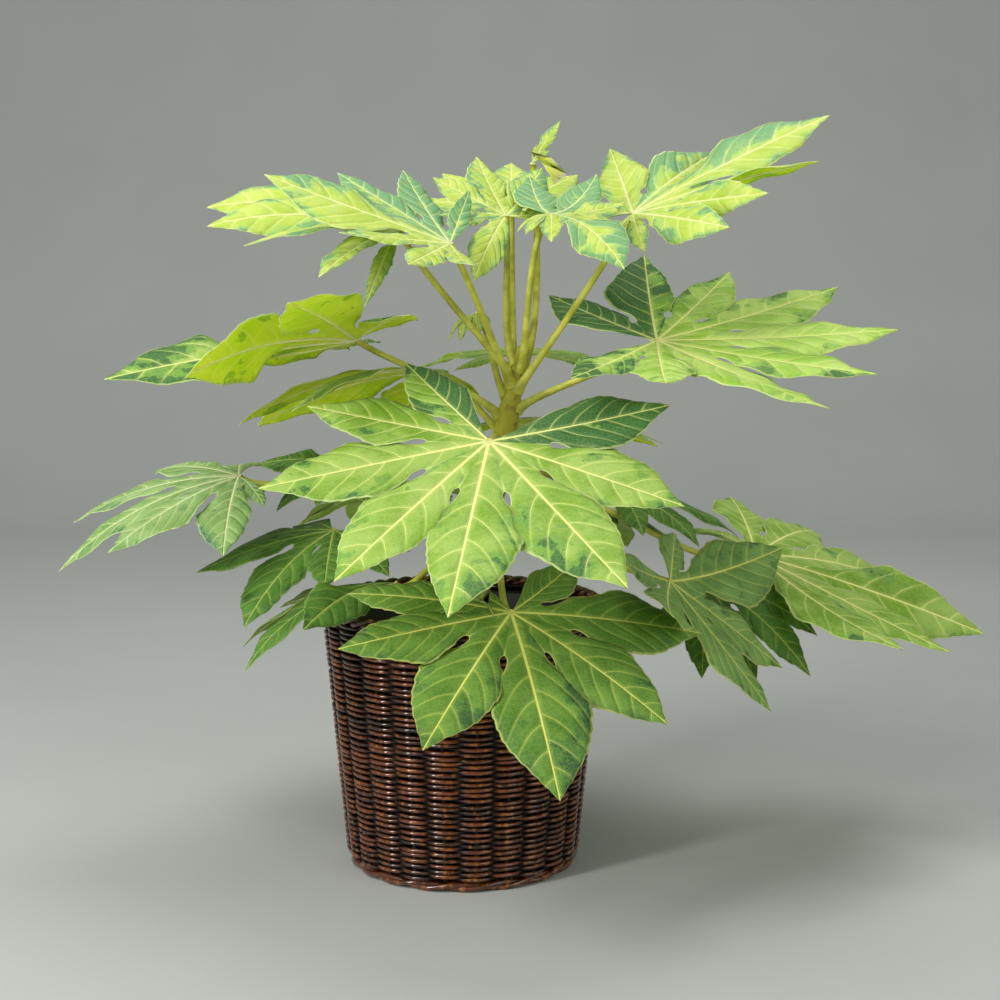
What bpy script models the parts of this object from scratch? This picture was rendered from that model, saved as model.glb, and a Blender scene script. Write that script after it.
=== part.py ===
"""Variegated fatsia japonica in a black nursery pot, standing in a dark wicker basket.

Metres, +Z up. The origin is the centre of the basket's underside, and -Y is the front.
"""

import math

import bmesh
import bpy
from mathutils import Matrix, Vector

# Driving dimensions
SEAT_GAP = 0.0003

BASKET_HEIGHT = 0.270
BASKET_TOP_RADIUS = 0.144
BASKET_FOOT_RADIUS = 0.119
WALL_THICKNESS = 0.009
WEAVE_DEPTH = 0.0016
WEAVE_BANDS = 20
STAKES = 24
RIM_RADIUS = 0.0062
FOOT_ROD_RADIUS = 0.0050
FOOT_INSET = 0.001
FOOT_CHAMFER = 0.0022
BASE_THICKNESS = 0.008
TWIST_RELIEF = 0.16
TURNED_SEGMENTS = 48

POT_HEIGHT = 0.245
POT_TOP_RADIUS = 0.126
POT_FOOT_RADIUS = 0.098
POT_WALL = 0.0022
POT_LIP = 0.0035
POT_LIP_DROP = 0.018

SOIL_DEPTH_BELOW_RIM = 0.022
SOIL_MOUND = 0.007
SOIL_SIDE_GAP = 0.0006
SOIL_SEGMENTS = 32
DRILL_HEADROOM = 0.03
STEM_HOLE_RADIUS = 0.0118
STEM_FOOT_X = 0.012

STEM_SIDES = 12
STEM_FOOT_Z = 0.160
STEM_STRAIGHT_Z = 0.250
STEM_TOP_Z = 0.524
STEM_LEAN = 0.048
STEM_LEAN_CURVE = 1.15
STEM_RADIUS = 0.0112
CROWN_Z = 0.445
CROWN_RADIUS = 0.0118
CROWN_TAPER = 1.4
BUD_RADIUS = 0.0040
STEM_RINGS = (STEM_FOOT_Z, STEM_STRAIGHT_Z, 0.30, 0.35, 0.40, 0.43, 0.455, 0.48, 0.505, STEM_TOP_Z)

BLADE_THICKNESS = 0.0008
SINUS_DEPTH = 0.32
WIDEST_AT = 0.58
LOBE_FILL = 0.97
MOST_HALF_WIDTH = 0.24
EDGE_TURN_DOWN = 0.06
LOBE_WAIST = 0.08
TWIST_LENGTH = 0.25
TIP_FULLNESS = 2.0
LOBE_ROWS = (0.32, 0.44, 0.60, 0.82, 1.0)

PETIOLE_SIDES = 6
PETIOLE_RINGS = 7
PETIOLE_BASE_RADIUS = 0.0052
PETIOLE_RADIUS = 0.0034
PETIOLE_TAPER = 0.22
SWELL_FADE = 9
PETIOLE_GAP = 0.0006
PETIOLE_INTO_BLADE = 0.0012
FIRST_RING_AT = 0.0085
FIRST_REACH = 0.38
STEEP_FIRST_REACH = 0.20
LAST_REACH = 0.26
ARCH_ABOVE_CLIMB = math.radians(28)
PETIOLE_MEETS_BLADE = math.radians(42)
STEEPEST_LAUNCH = math.radians(52)

# Each leaf: hub in mm, then heading, pitch down, roll and droop of the blade in degrees,
# the height in mm where its stalk leaves the stem (for some with the direction it leaves in),
# and its lobes from right to left as (angle from the middle lobe, length in mm), some with a
# droop of their own and a twist, which raises the lobe's left side.
LEAVES = {
    "leaf_front_upper": (
        (28, -150, 444), -95, 33, -2, 4, 418,
        (
            (-141, 143, -3), (-103, 180, -1), (-69, 215, 1), (-32, 221), (-4, 231, 1),
            (35, 228, 1), (67, 194, 3), (108, 174, -5),
        ),
    ),
    "leaf_front_lower": (
        (48, -200, 294), -74, 30, 1, 14, 372,
        (
            (-147, 69, 19), (-114, 152), (-81, 164, 4), (-38, 179), (-2, 209), (39, 176),
            (81, 181, 11), (125, 95, -14),
        ),
    ),
    "leaf_right_middle": (
        (191, -40, 532), 3, 0, 18, -5, 462,
        (
            (-129, 150), (-95, 160, -13), (-58, 236, -5, -18), (-32, 221), (0, 238), (32, 245),
            (61, 211), (87, 196, -15), (130, 152),
        ),
    ),
    "leaf_left_middle": (
        (-105, 0, 531), 197, 4, 19, 16, 452,
        (
            (-110, 90, -30), (-74, 115, -35), (-37, 150, -12), (1, 251, 9, -46),
            (32, 230, 28, 42), (63, 221, 9, 14), (100, 140),
        ),
    ),
    "leaf_left_inner": (
        (-24, 60, 497), 178, -4, 12, 34, 436,
        (
            (-105, 120), (-70, 170), (-32, 252, 27), (0, 220, 39), (36, 184, 43), (68, 56, 50),
            (100, 42),
        ),
    ),
    "leaf_left_low": (
        (-225, 0, 394), 192, 7, -12, 31, 392,
        ((-95, 115), (-59, 158, 19), (-25, 200), (3, 206, 40), (30, 162, 22), (76, 133), (108, 62)),
    ),
    "leaf_left_rim": (
        (-130, 0, 339), 231, 12, -3, 27, 348,
        ((-112, 100), (-76, 130), (-40, 144, 18), (4, 156, 37), (38, 120, 16), (74, 104), (108, 85)),
    ),
    "leaf_front_left_rim": (
        (-64, -82, 300), 210, -6, 8, 34, 330,
        ((-98, 105, 24), (-64, 148, 22), (-33, 165, 48), (1, 182, 57), (32, 164, 31, -35)),
    ),
    "leaf_front_right_rim": (
        (199, -120, 308), -23, 47, 2, -4, 338,
        ((-112, 97, -16), (-72, 122, -25), (-2, 153, 3), (34, 156, 2), (78, 185, -32), (113, 105, 1)),
    ),
    "leaf_right_low": (
        (306, 60, 304), 4, 16, 20, 6, 386,
        (
            (-95, 70), (-57, 220, -17), (-30, 222, -3), (-1, 264, 7, 30), (27, 252, 20),
            (60, 210, 20), (91, 180, 15), (126, 105, 34),
        ),
    ),
    "leaf_right_inner": (
        (157, 90, 370), -5, 4, 1, 32, 404,
        ((-100, 60, 20), (-66, 98, 42), (-34, 125, 42), (0, 142), (34, 135), (70, 110), (104, 85)),
    ),
    "leaf_right_rim": (
        (248, 20, 284), -42, 15, 17, 41, 322,
        (
            (-84, 100), (-52, 124), (-27, 137), (-1, 151), (26, 130, 41, 12), (54, 146, 41, 26),
            (90, 100),
        ),
    ),
    "leaf_back_middle": (
        (62, 140, 512), 95, -5, 0, 20, 474,
        ((-114, 85), (-76, 120), (-38, 145), (0, 150), (38, 145), (76, 120), (114, 85)),
    ),
    "leaf_top_left": (
        (-9, -80, 625), 186, -19, -21, -2, 486,
        (
            (-94, 78, -58), (-66, 148, -8), (-36, 150, 0, -12), (0, 184, -2, -18),
            (38, 130, -2, 12), (70, 105), (104, 84, -20),
        ),
    ),
    "leaf_top_left_back": (
        (-61, 0, 639), 163, -22, -5, 31, (494, 168),
        (
            (-95, 120), (-62, 165, 12, -30), (-30, 198, 20, -35), (1, 215, 31, -38),
            (29, 191, 33, -30), (58, 176, 28, 20), (88, 160, 28, 20), (104, 118, 72),
        ),
    ),
    "leaf_top_centre": (
        (44, -20, 652), 118, -32, 0, 10, (504, 140),
        (
            (-84, 80, 10), (-44, 104, -16), (-6, 106, -8), (34, 88, 0, -20), (72, 66, 20),
            (136, 82, 78),
        ),
    ),
    "leaf_top_front": (
        (86, -60, 653), -45, 5, 0, 45, (502, 296),
        (
            (-114, 40, 60), (-78, 48, 50), (-44, 62, 48, 20), (-6, 120, 44, 34), (36, 74, 20, 30),
            (72, 84, -20, 20), (108, 112, -42), (146, 116, -34),
        ),
    ),
    "leaf_top_right": (
        (170, 12, 656), -13, -21, 22, 5, (482, -48),
        (
            (-122, 50, 20), (-86, 66, 40), (-54, 160, 5, 20), (-30, 156, 5, 30),
            (-3, 189, 11, -34), (24, 230, 5, 18), (58, 162, 10, 45), (96, 140, -28),
            (132, 104, 0),
        ),
    ),
    "leaf_back_right": (
        (90, 160, 440), 70, 5, 0, 22, 428,
        ((-108, 95), (-72, 130), (-36, 160), (0, 170), (36, 160), (72, 130), (108, 95)),
    ),
    "leaf_back_left_low": (
        (-60, 140, 370), 120, 10, 0, 28, 366,
        ((-114, 85), (-76, 120), (-38, 150), (0, 160), (38, 150), (76, 120), (114, 85)),
    ),
    "leaf_back_right_low": (
        (120, 150, 345), 60, 12, 0, 28, 344,
        ((-114, 80), (-76, 110), (-38, 140), (0, 150), (38, 140), (76, 110), (114, 80)),
    ),
    "leaf_left_behind": (
        (-116, 70, 399), 176, -4, -4, 30, (410, 158),
        (
            (-98, 84), (-62, 108), (-28, 132, 19, -24), (6, 112, 43), (42, 104, 52), (78, 104),
            (118, 116, 30),
        ),
    ),
    "leaf_top_back": (
        (50, 92, 664), 90, -28, 0, 6, (490, 95),
        ((-114, 62), (-76, 96), (-38, 118), (0, 124), (38, 122), (76, 105), (114, 75)),
    ),
    "young_leaf_spike": (
        (71, 65, 708), 0, -60, 40, 10, (500, 35),
        ((-32, 22), (0, 51), (32, 22)),
    ),
    "young_leaf_curled": (
        (13, 42, 556), 215, 10, 0, 70, (474, 165),
        ((-96, 24), (-50, 36), (-15, 42), (20, 42), (56, 36), (100, 24)),
    ),
}

LEAF_COLOURS = {
    "young": "B9CC4B",
    "middle": "7FB13A",
    "old": "4C7A36",
}
LEAF_TONE = {
    "leaf_front_lower": "old",
    "leaf_left_low": "old",
    "leaf_left_rim": "old",
    "leaf_front_left_rim": "old",
    "leaf_front_right_rim": "old",
    "leaf_right_inner": "old",
    "leaf_right_rim": "old",
    "leaf_back_left_low": "old",
    "leaf_back_right_low": "old",
    "leaf_left_behind": "old",
    "leaf_top_left": "young",
    "leaf_top_left_back": "young",
    "leaf_top_centre": "young",
    "leaf_top_front": "young",
    "leaf_top_right": "young",
    "leaf_top_back": "young",
    "young_leaf_spike": "young",
    "young_leaf_curled": "young",
}


def clear_scene():
    for obj in list(bpy.data.objects):
        bpy.data.objects.remove(obj, do_unlink=True)


def linear_from_hex(code):
    channels = [int(code[i:i + 2], 16) / 255 for i in (0, 2, 4)]
    return [c / 12.92 if c <= 0.04045 else ((c + 0.055) / 1.055) ** 2.4 for c in channels]


def make_material(name, code, roughness, metallic=0.0):
    material = bpy.data.materials.new(name)
    material.use_nodes = True
    shader = material.node_tree.nodes["Principled BSDF"]
    shader.inputs["Base Color"].default_value = (*linear_from_hex(code), 1.0)
    shader.inputs["Roughness"].default_value = roughness
    shader.inputs["Metallic"].default_value = metallic
    return material


def add_object(name, mesh, material, smooth_angle=None):
    if smooth_angle is not None:
        mesh.shade_smooth()
        mesh.set_sharp_from_angle(angle=math.radians(smooth_angle))
    mesh.materials.clear()
    mesh.materials.append(material)
    obj = bpy.data.objects.new(name, mesh)
    bpy.context.scene.collection.objects.link(obj)
    return obj


def mesh_from(bm, name):
    bmesh.ops.recalc_face_normals(bm, faces=bm.faces)
    mesh = bpy.data.meshes.new(name)
    bm.to_mesh(mesh)
    bm.free()
    return mesh


def turned(name, profile, segments, material, smooth_angle=40):
    """A closed profile of (radius, height) points, spun about Z; radius 0 closes on the axis."""
    bm = bmesh.new()
    verts = [bm.verts.new((r, 0, z)) for r, z in profile]
    edges = [bm.edges.new(pair) for pair in zip(verts, verts[1:])]
    if profile[0][0] > 0:
        edges.append(bm.edges.new((verts[-1], verts[0])))
    bmesh.ops.spin(
        bm, geom=verts + edges, cent=(0, 0, 0), axis=(0, 0, 1),
        angle=math.tau, steps=segments, use_merge=True,
    )
    bmesh.ops.remove_doubles(bm, verts=bm.verts, dist=1e-6)
    return add_object(name, mesh_from(bm, name), material, smooth_angle)


def basket_radius(z):
    """Outer radius of the weave at a height."""
    share = z / BASKET_HEIGHT
    return BASKET_FOOT_RADIUS + (BASKET_TOP_RADIUS - BASKET_FOOT_RADIUS) * share


def basket_wall(material):
    """The woven wall: bands that pass in front of one stake and behind the next."""
    low = 2 * FOOT_ROD_RADIUS + SEAT_GAP
    high = BASKET_HEIGHT - 2 * RIM_RADIUS - SEAT_GAP
    columns = 2 * STAKES
    bm = bmesh.new()

    def ring(z, radii):
        angles = [math.tau * i / columns for i in range(columns)]
        return [bm.verts.new((r * math.cos(a), r * math.sin(a), z)) for a, r in zip(angles, radii)]

    rings = []
    for band in range(WEAVE_BANDS + 1):
        z = low + (high - low) * band / WEAVE_BANDS
        outer = basket_radius(z)
        rings.append(ring(z, [outer - WEAVE_DEPTH * ((i + band) % 2) for i in range(columns)]))
    for share in (1.0, 0.5, 0.0):
        z = low + (high - low) * share
        rings.append(ring(z, [basket_radius(z) - WALL_THICKNESS] * columns))
    rings.append(rings[0])
    for band, (below, above) in enumerate(zip(rings, rings[1:])):
        for i in range(columns):
            j = (i + 1) % columns
            quad = (below[i], below[j], above[j], above[i])
            if (i + band) % 2:
                quad = quad[1:] + quad[:1]
            bm.faces.new((quad[0], quad[1], quad[2]))
            bm.faces.new((quad[0], quad[2], quad[3]))
    return add_object("basket_wall", mesh_from(bm, "basket_wall"), material, 60)


def twisted_ring(name, centre_radius, z, rod_radius, twists, material):
    """A border of two rods twisted round each other, as one ring of a lobed section."""
    steps, sides = TURNED_SEGMENTS, 6
    bm = bmesh.new()
    rings = []
    for i in range(steps):
        a = math.tau * i / steps
        turn = twists * a / 2
        ring = []
        for k in range(sides):
            b = math.tau * (k + 0.5) / sides
            reach = rod_radius * (1 - TWIST_RELIEF + TWIST_RELIEF * math.cos(2 * (b - turn)))
            r = centre_radius + reach * math.cos(b)
            ring.append(bm.verts.new((r * math.cos(a), r * math.sin(a), z + reach * math.sin(b))))
        rings.append(ring)
    for i in range(steps):
        here, there = rings[i], rings[(i + 1) % steps]
        for k in range(sides):
            m = (k + 1) % sides
            bm.faces.new((here[k], here[m], there[m]))
            bm.faces.new((here[k], there[m], there[k]))
    return add_object(name, mesh_from(bm, name), material, 60)


def basket_foot(material):
    """The foot border, with a flat underside that the basket stands on."""
    outer = BASKET_FOOT_RADIUS - FOOT_INSET
    inner = outer - 2 * FOOT_ROD_RADIUS
    height = 2 * FOOT_ROD_RADIUS
    profile = (
        (inner, 0.0), (outer - FOOT_CHAMFER, 0.0), (outer, FOOT_CHAMFER), (outer, height - FOOT_CHAMFER),
        (outer - FOOT_CHAMFER, height), (inner, height),
    )
    return turned("basket_foot", profile, TURNED_SEGMENTS, material)


def basket_base(material):
    """The woven bottom disc, held inside the foot border."""
    radius = BASKET_FOOT_RADIUS - FOOT_INSET - 2 * FOOT_ROD_RADIUS - SEAT_GAP
    profile = ((0.0, 0.0), (radius, 0.0), (radius, BASE_THICKNESS), (0.0, BASE_THICKNESS))
    return turned("basket_base", profile, TURNED_SEGMENTS, material)


def pot_floor():
    return BASE_THICKNESS + SEAT_GAP


def pot_radius(z):
    """Outer radius of the nursery pot at a height."""
    share = (z - pot_floor()) / POT_HEIGHT
    return POT_FOOT_RADIUS + (POT_TOP_RADIUS - POT_FOOT_RADIUS) * share


def nursery_pot(material):
    """A thin tapered plastic pot with a rolled-over lip."""
    low = pot_floor()
    high = low + POT_HEIGHT
    lip_low = high - POT_LIP_DROP
    inner_low = low + POT_WALL
    profile = (
        (0.0, low), (pot_radius(low), low), (pot_radius(lip_low), lip_low),
        (pot_radius(lip_low) + POT_LIP, lip_low), (pot_radius(high) + POT_LIP, high),
        (pot_radius(high) - POT_WALL, high),
        (pot_radius(inner_low) - POT_WALL, inner_low), (0.0, inner_low),
    )
    return turned("nursery_pot", profile, TURNED_SEGMENTS, material)


def soil(material):
    """Potting mix up to just under the rim, with a plain hole for the stem."""
    clearance = POT_WALL + SEAT_GAP
    low = pot_floor() + clearance
    high = pot_floor() + POT_HEIGHT - SOIL_DEPTH_BELOW_RIM
    low_radius = pot_radius(low) - clearance - SOIL_SIDE_GAP
    high_radius = pot_radius(high) - clearance - SOIL_SIDE_GAP
    profile = (
        (0.0, low), (low_radius, low), (high_radius, high),
        (0.6 * high_radius, high + 0.7 * SOIL_MOUND), (0.0, high + SOIL_MOUND),
    )
    filling = turned("soil", profile, SOIL_SEGMENTS, material)
    bm = bmesh.new()
    depth = high + DRILL_HEADROOM - (STEM_FOOT_Z - SEAT_GAP)
    bmesh.ops.create_cone(
        bm, cap_ends=True, segments=16, radius1=STEM_HOLE_RADIUS, radius2=STEM_HOLE_RADIUS, depth=depth,
        matrix=Matrix.Translation((STEM_FOOT_X, 0, STEM_FOOT_Z - SEAT_GAP + depth / 2)),
    )
    drill = bpy.data.objects.new("stem_hole_cutter", mesh_from(bm, "stem_hole_cutter"))
    bpy.context.scene.collection.objects.link(drill)
    apply_boolean(filling, drill, "DIFFERENCE")
    return filling


def apply_boolean(obj, other, operation):
    """Joins or cuts with the exact solver, keeps the result as a plain mesh and drops the other object."""
    modifier = obj.modifiers.new("join", "BOOLEAN")
    modifier.operation = operation
    modifier.solver = "EXACT"
    modifier.object = other
    graph = bpy.context.evaluated_depsgraph_get()
    mesh = bpy.data.meshes.new_from_object(obj.evaluated_get(graph))
    obj.modifiers.clear()
    obj.data = mesh
    bpy.data.objects.remove(other, do_unlink=True)


def stem_centre(z):
    """The stem stands straight in the soil, then leans a little to the right."""
    share = max(0.0, z - STEM_STRAIGHT_Z) / (STEM_TOP_Z - STEM_STRAIGHT_Z)
    return Vector((STEM_FOOT_X + STEM_LEAN * share ** STEM_LEAN_CURVE, 0.0, z))


def stem_tangent(z):
    return (stem_centre(z + 0.002) - stem_centre(z - 0.002)).normalized()


def stem_radius(z):
    """Even below, a little thicker at the crown, and narrowing to the bud."""
    if z <= CROWN_Z:
        return STEM_RADIUS + (CROWN_RADIUS - STEM_RADIUS) * (z - STEM_FOOT_Z) / (CROWN_Z - STEM_FOOT_Z)
    share = (z - CROWN_Z) / (STEM_TOP_Z - CROWN_Z)
    return CROWN_RADIUS + (BUD_RADIUS - CROWN_RADIUS) * share ** CROWN_TAPER


def ring_about(bm, centre, axis, radius, sides, side_hint):
    """A ring of vertices square to an axis."""
    across = (side_hint - side_hint.dot(axis) * axis).normalized()
    other = axis.cross(across)
    return [
        bm.verts.new(centre + radius * (math.cos(t) * across + math.sin(t) * other))
        for t in (math.tau * k / sides for k in range(sides))
    ]


def close_tube(bm, rings):
    sides = len(rings[0])
    for here, there in zip(rings, rings[1:]):
        for k in range(sides):
            m = (k + 1) % sides
            bm.faces.new((here[k], here[m], there[m], there[k]))
    bm.faces.new(rings[0])
    bm.faces.new(rings[-1])


def stem(material):
    bm = bmesh.new()
    rings = []
    for z in STEM_RINGS:
        axis = stem_tangent(z) if z > STEM_STRAIGHT_Z else Vector((0, 0, 1))
        rings.append(ring_about(bm, stem_centre(z), axis, stem_radius(z), STEM_SIDES, Vector((1, 0, 0))))
    close_tube(bm, rings)
    return add_object("stem", mesh_from(bm, "stem"), material, 50)


def leaf_frame(heading, pitch, roll):
    """Columns: along the middle lobe, to its left, and up out of the blade."""
    turn = Matrix.Rotation(math.radians(heading), 3, "Z")
    dip = Matrix.Rotation(math.radians(pitch), 3, "Y")
    tilt = Matrix.Rotation(math.radians(roll), 3, "X")
    return turn @ dip @ tilt


class Lobe:
    """One finger of the blade, bent downwards along its midrib in an even arc, and twisted about it."""

    def __init__(self, angle, length, droop, twist):
        self.twist = math.radians(twist)
        self.angle = math.radians(angle)
        self.length = length
        self.bend = math.radians(droop) if abs(droop) > 0.01 else math.radians(0.01)

    def place(self, along, across, lift=0.0):
        """Flat lobe coordinates to the leaf's own frame."""
        twisted = self.twist * max(0.0, min(1.0, (along / self.length - SINUS_DEPTH) / TWIST_LENGTH))
        across, lift = (
            across * math.cos(twisted) - lift * math.sin(twisted),
            across * math.sin(twisted) + lift * math.cos(twisted),
        )
        turned_by = self.bend * along / self.length
        reach = self.length * math.sin(turned_by) / self.bend
        fall = -self.length * (1 - math.cos(turned_by)) / self.bend
        outward = Vector((math.cos(self.angle), math.sin(self.angle), 0))
        left = Vector((-outward.y, outward.x, 0))
        up = math.sin(turned_by) * outward + math.cos(turned_by) * Vector((0, 0, 1))
        return reach * outward + Vector((0, 0, fall)) + across * left + lift * up


def sinus_between(one, other):
    """Where the notch between two lobes ends: distance from the hub and half the angle between them."""
    return SINUS_DEPTH * min(one.length, other.length), abs(other.angle - one.angle) / 2


def lobe_outline(lobe, sinus_radius, half_angle, row):
    """Flat (along, across) of a lobe's edge at a row, from the notch to the tip."""
    start = sinus_radius * math.cos(half_angle)
    share = (row - SINUS_DEPTH) / (1 - SINUS_DEPTH)
    along = start + (lobe.length - start) * share
    widest = WIDEST_AT * lobe.length
    widest_half = min(LOBE_FILL * widest * math.tan(half_angle), MOST_HALF_WIDTH * lobe.length)
    if along >= widest:
        taper = (along - widest) / (lobe.length - widest)
        return along, widest_half * (1 - taper ** TIP_FULLNESS)
    to_widest = (along - start) / (widest - start)
    notch_half = sinus_radius * math.sin(half_angle)
    straight = notch_half + (widest_half - notch_half) * to_widest
    return along, straight * (1 - LOBE_WAIST * math.sin(math.pi * to_widest))


def blade_sheet(lobes):
    """The blade as one thin sheet of triangles about its hub, in the leaf's own frame."""
    bm = bmesh.new()
    hub = bm.verts.new((0, 0, 0))
    notches = [sinus_between(a, b) for a, b in zip(lobes, lobes[1:])]
    notch_verts = []
    for (radius, half), left, right in zip(notches, lobes, lobes[1:]):
        along, across = radius * math.cos(half), radius * math.sin(half)
        meet = (left.place(along, across) + right.place(along, -across)) / 2
        notch_verts.append(bm.verts.new(meet))
    for i, lobe in enumerate(lobes):
        sides = []
        for sign in (-1, 1):
            inner = i - 1 if sign < 0 else i
            shared = 0 <= inner < len(notches)
            radius, half = notches[inner] if shared else notches[0 if i == 0 else -1]
            edge = []
            for row in LOBE_ROWS[:-1]:
                if row == LOBE_ROWS[0] and shared:
                    edge.append(notch_verts[inner])
                    continue
                along, across = lobe_outline(lobe, radius, half, row)
                edge.append(bm.verts.new(lobe.place(along, sign * across, -EDGE_TURN_DOWN * across)))
            sides.append(edge)
        middle = [bm.verts.new(lobe.place(row * lobe.length, 0)) for row in LOBE_ROWS]
        for sign, edge in zip((-1, 1), sides):
            strip = [(hub, middle[0], edge[0])]
            for r in range(len(edge) - 1):
                strip.append((middle[r], middle[r + 1], edge[r + 1]))
                strip.append((middle[r], edge[r + 1], edge[r]))
            strip.append((middle[-2], middle[-1], edge[-1]))
            for corners in strip:
                bm.faces.new(corners if sign > 0 else corners[::-1])
    return bm


def blade(name, lobes, frame, hub, material):
    bm = blade_sheet(lobes)
    bmesh.ops.recalc_face_normals(bm, faces=bm.faces)
    bmesh.ops.solidify(bm, geom=bm.faces[:], thickness=BLADE_THICKNESS)
    place = Matrix.Translation(hub) @ frame.to_4x4()
    bmesh.ops.transform(bm, matrix=place, verts=bm.verts)
    return add_object(name, mesh_from(bm, name), material)


def petiole(name, stem_z, azimuth, frame, hub, material):
    """The leaf stalk: it leaves the stem square to it, arches, and comes up under the hub."""
    centre = stem_centre(stem_z)
    tangent = stem_tangent(stem_z)
    if azimuth is None:
        away = Vector((hub.x - centre.x, hub.y - centre.y, 0))
    else:
        away = Vector((math.cos(math.radians(azimuth)), math.sin(math.radians(azimuth)), 0))
    outward = (away - away.dot(tangent) * tangent).normalized()
    start = centre + outward * (stem_radius(stem_z) + PETIOLE_GAP)
    span = (hub - start).length
    climb = math.asin(max(-1.0, min(1.0, (hub.z - start.z) / span)))
    launch = min(climb + ARCH_ABOVE_CLIMB, STEEPEST_LAUNCH)
    first_reach = FIRST_REACH if launch < STEEPEST_LAUNCH else STEEP_FIRST_REACH
    first = outward * math.cos(launch) + Vector((0, 0, 1)) * math.sin(launch)
    arrive = math.cos(PETIOLE_MEETS_BLADE) * frame.col[0] + math.sin(PETIOLE_MEETS_BLADE) * frame.col[2]
    end = hub + PETIOLE_INTO_BLADE * frame.col[2]
    controls = (start, start + first * span * first_reach, end - arrive * span * LAST_REACH, end)

    def on_curve(t):
        weights = ((1 - t) ** 3, 3 * t * (1 - t) ** 2, 3 * t * t * (1 - t), t ** 3)
        return sum((w * c for w, c in zip(weights, controls)), Vector())

    bm = bmesh.new()
    rings = [ring_about(bm, start, outward, PETIOLE_BASE_RADIUS, PETIOLE_SIDES, tangent)]
    foot = min(0.3, FIRST_RING_AT / span)
    for i in range(PETIOLE_RINGS):
        t = foot + (1 - foot) * i / (PETIOLE_RINGS - 1)
        ahead = (on_curve(min(t + 0.01, 1.0)) - on_curve(t - 0.01)).normalized()
        swell = (PETIOLE_BASE_RADIUS - PETIOLE_RADIUS) * math.exp(-t * SWELL_FADE)
        radius = PETIOLE_RADIUS * (1 - PETIOLE_TAPER * t) + swell
        rings.append(ring_about(bm, on_curve(t), ahead, radius, PETIOLE_SIDES, tangent))
    close_tube(bm, rings)
    bmesh.ops.triangulate(bm, faces=bm.faces[:])
    return add_object(name + "_stalk", mesh_from(bm, name + "_stalk"), material)


def leaf(name, row, material):
    """A whole leaf: its lobed blade and its stalk, joined in one solid."""
    hub_mm, heading, pitch, roll, droop, leaves_stem, lobe_rows = row
    stem_mm, azimuth = leaves_stem if isinstance(leaves_stem, tuple) else (leaves_stem, None)
    hub = Vector(hub_mm) / 1000
    frame = leaf_frame(heading, pitch, roll)
    lobes = []
    for angle, length_mm, *own in lobe_rows:
        lobe_droop = own[0] if own else droop
        twist = own[1] if len(own) > 1 else 0.0
        lobes.append(Lobe(angle, length_mm / 1000, lobe_droop, twist))
    whole = blade(name, lobes, frame, hub, material)
    stalk = petiole(name, stem_mm / 1000, azimuth, frame, hub, material)
    apply_boolean(whole, stalk, "UNION")
    return whole


def main():
    clear_scene()
    wicker = make_material("varnished_wicker", "5A3018", 0.35)
    plastic = make_material("black_nursery_plastic", "17181A", 0.45)
    earth = make_material("potting_mix", "3A281C", 0.95)
    bark = make_material("green_bark", "8A8F4A", 0.6)
    foliage = {tone: make_material(tone + "_leaf", code, 0.45) for tone, code in LEAF_COLOURS.items()}
    basket_wall(wicker)
    rim_z = BASKET_HEIGHT - RIM_RADIUS
    twisted_ring("basket_rim", basket_radius(rim_z) - WALL_THICKNESS / 2, rim_z, RIM_RADIUS, STAKES, wicker)
    basket_foot(wicker)
    basket_base(wicker)
    nursery_pot(plastic)
    soil(earth)
    stem(bark)
    for name, row in LEAVES.items():
        leaf(name, row, foliage[LEAF_TONE.get(name, "middle")])


main()
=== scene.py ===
# %% [markdown]
# # A variegated fatsia japonica in a wicker basket
#
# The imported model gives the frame: every node's place and size. This script dresses it,
# replacing each plain solid by a finer piece of the same form, and gives every piece the
# finish of the real thing.

import math
import random
from functools import partial

import bmesh
import bpy
from mathutils import Matrix, Vector, noise


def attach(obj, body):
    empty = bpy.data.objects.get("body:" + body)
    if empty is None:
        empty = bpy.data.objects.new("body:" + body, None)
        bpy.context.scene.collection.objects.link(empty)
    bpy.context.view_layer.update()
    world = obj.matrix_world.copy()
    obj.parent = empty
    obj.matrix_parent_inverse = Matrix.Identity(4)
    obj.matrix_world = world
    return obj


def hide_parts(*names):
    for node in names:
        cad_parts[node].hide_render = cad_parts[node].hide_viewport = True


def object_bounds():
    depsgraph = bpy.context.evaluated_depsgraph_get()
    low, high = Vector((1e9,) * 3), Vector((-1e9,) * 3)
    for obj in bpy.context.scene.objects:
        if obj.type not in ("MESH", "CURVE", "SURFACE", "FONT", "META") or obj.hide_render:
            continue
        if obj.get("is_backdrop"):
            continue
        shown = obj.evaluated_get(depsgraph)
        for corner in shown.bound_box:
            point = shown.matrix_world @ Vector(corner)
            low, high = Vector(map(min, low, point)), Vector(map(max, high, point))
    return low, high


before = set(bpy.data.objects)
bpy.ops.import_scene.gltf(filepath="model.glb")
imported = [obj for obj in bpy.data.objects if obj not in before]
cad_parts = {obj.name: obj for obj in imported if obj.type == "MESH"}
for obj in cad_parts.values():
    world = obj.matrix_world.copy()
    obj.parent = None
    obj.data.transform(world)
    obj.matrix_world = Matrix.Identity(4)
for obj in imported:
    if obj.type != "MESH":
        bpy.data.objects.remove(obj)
cad_box = [list(corner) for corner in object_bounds()]
print("CAD box in mm:", [[round(1000 * c) for c in corner] for corner in cad_box])

# %% [markdown]
# ## Camera
#
# The photograph was taken from a little above the plant's middle with a short telephoto lens,
# so that the basket's sides stay nearly upright. A lens of 63 mm on a 36 mm sensor, 1.75 m in
# front of the plant and pitched down by 7.5 degrees, gives the same picture.

# %% Camera
CAMERA_PLACE = (0.038, -1.75, 0.60)
CAMERA_PITCH = math.radians(7.5)
LENS_MM, SENSOR_MM = 63.0, 36.0

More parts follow.
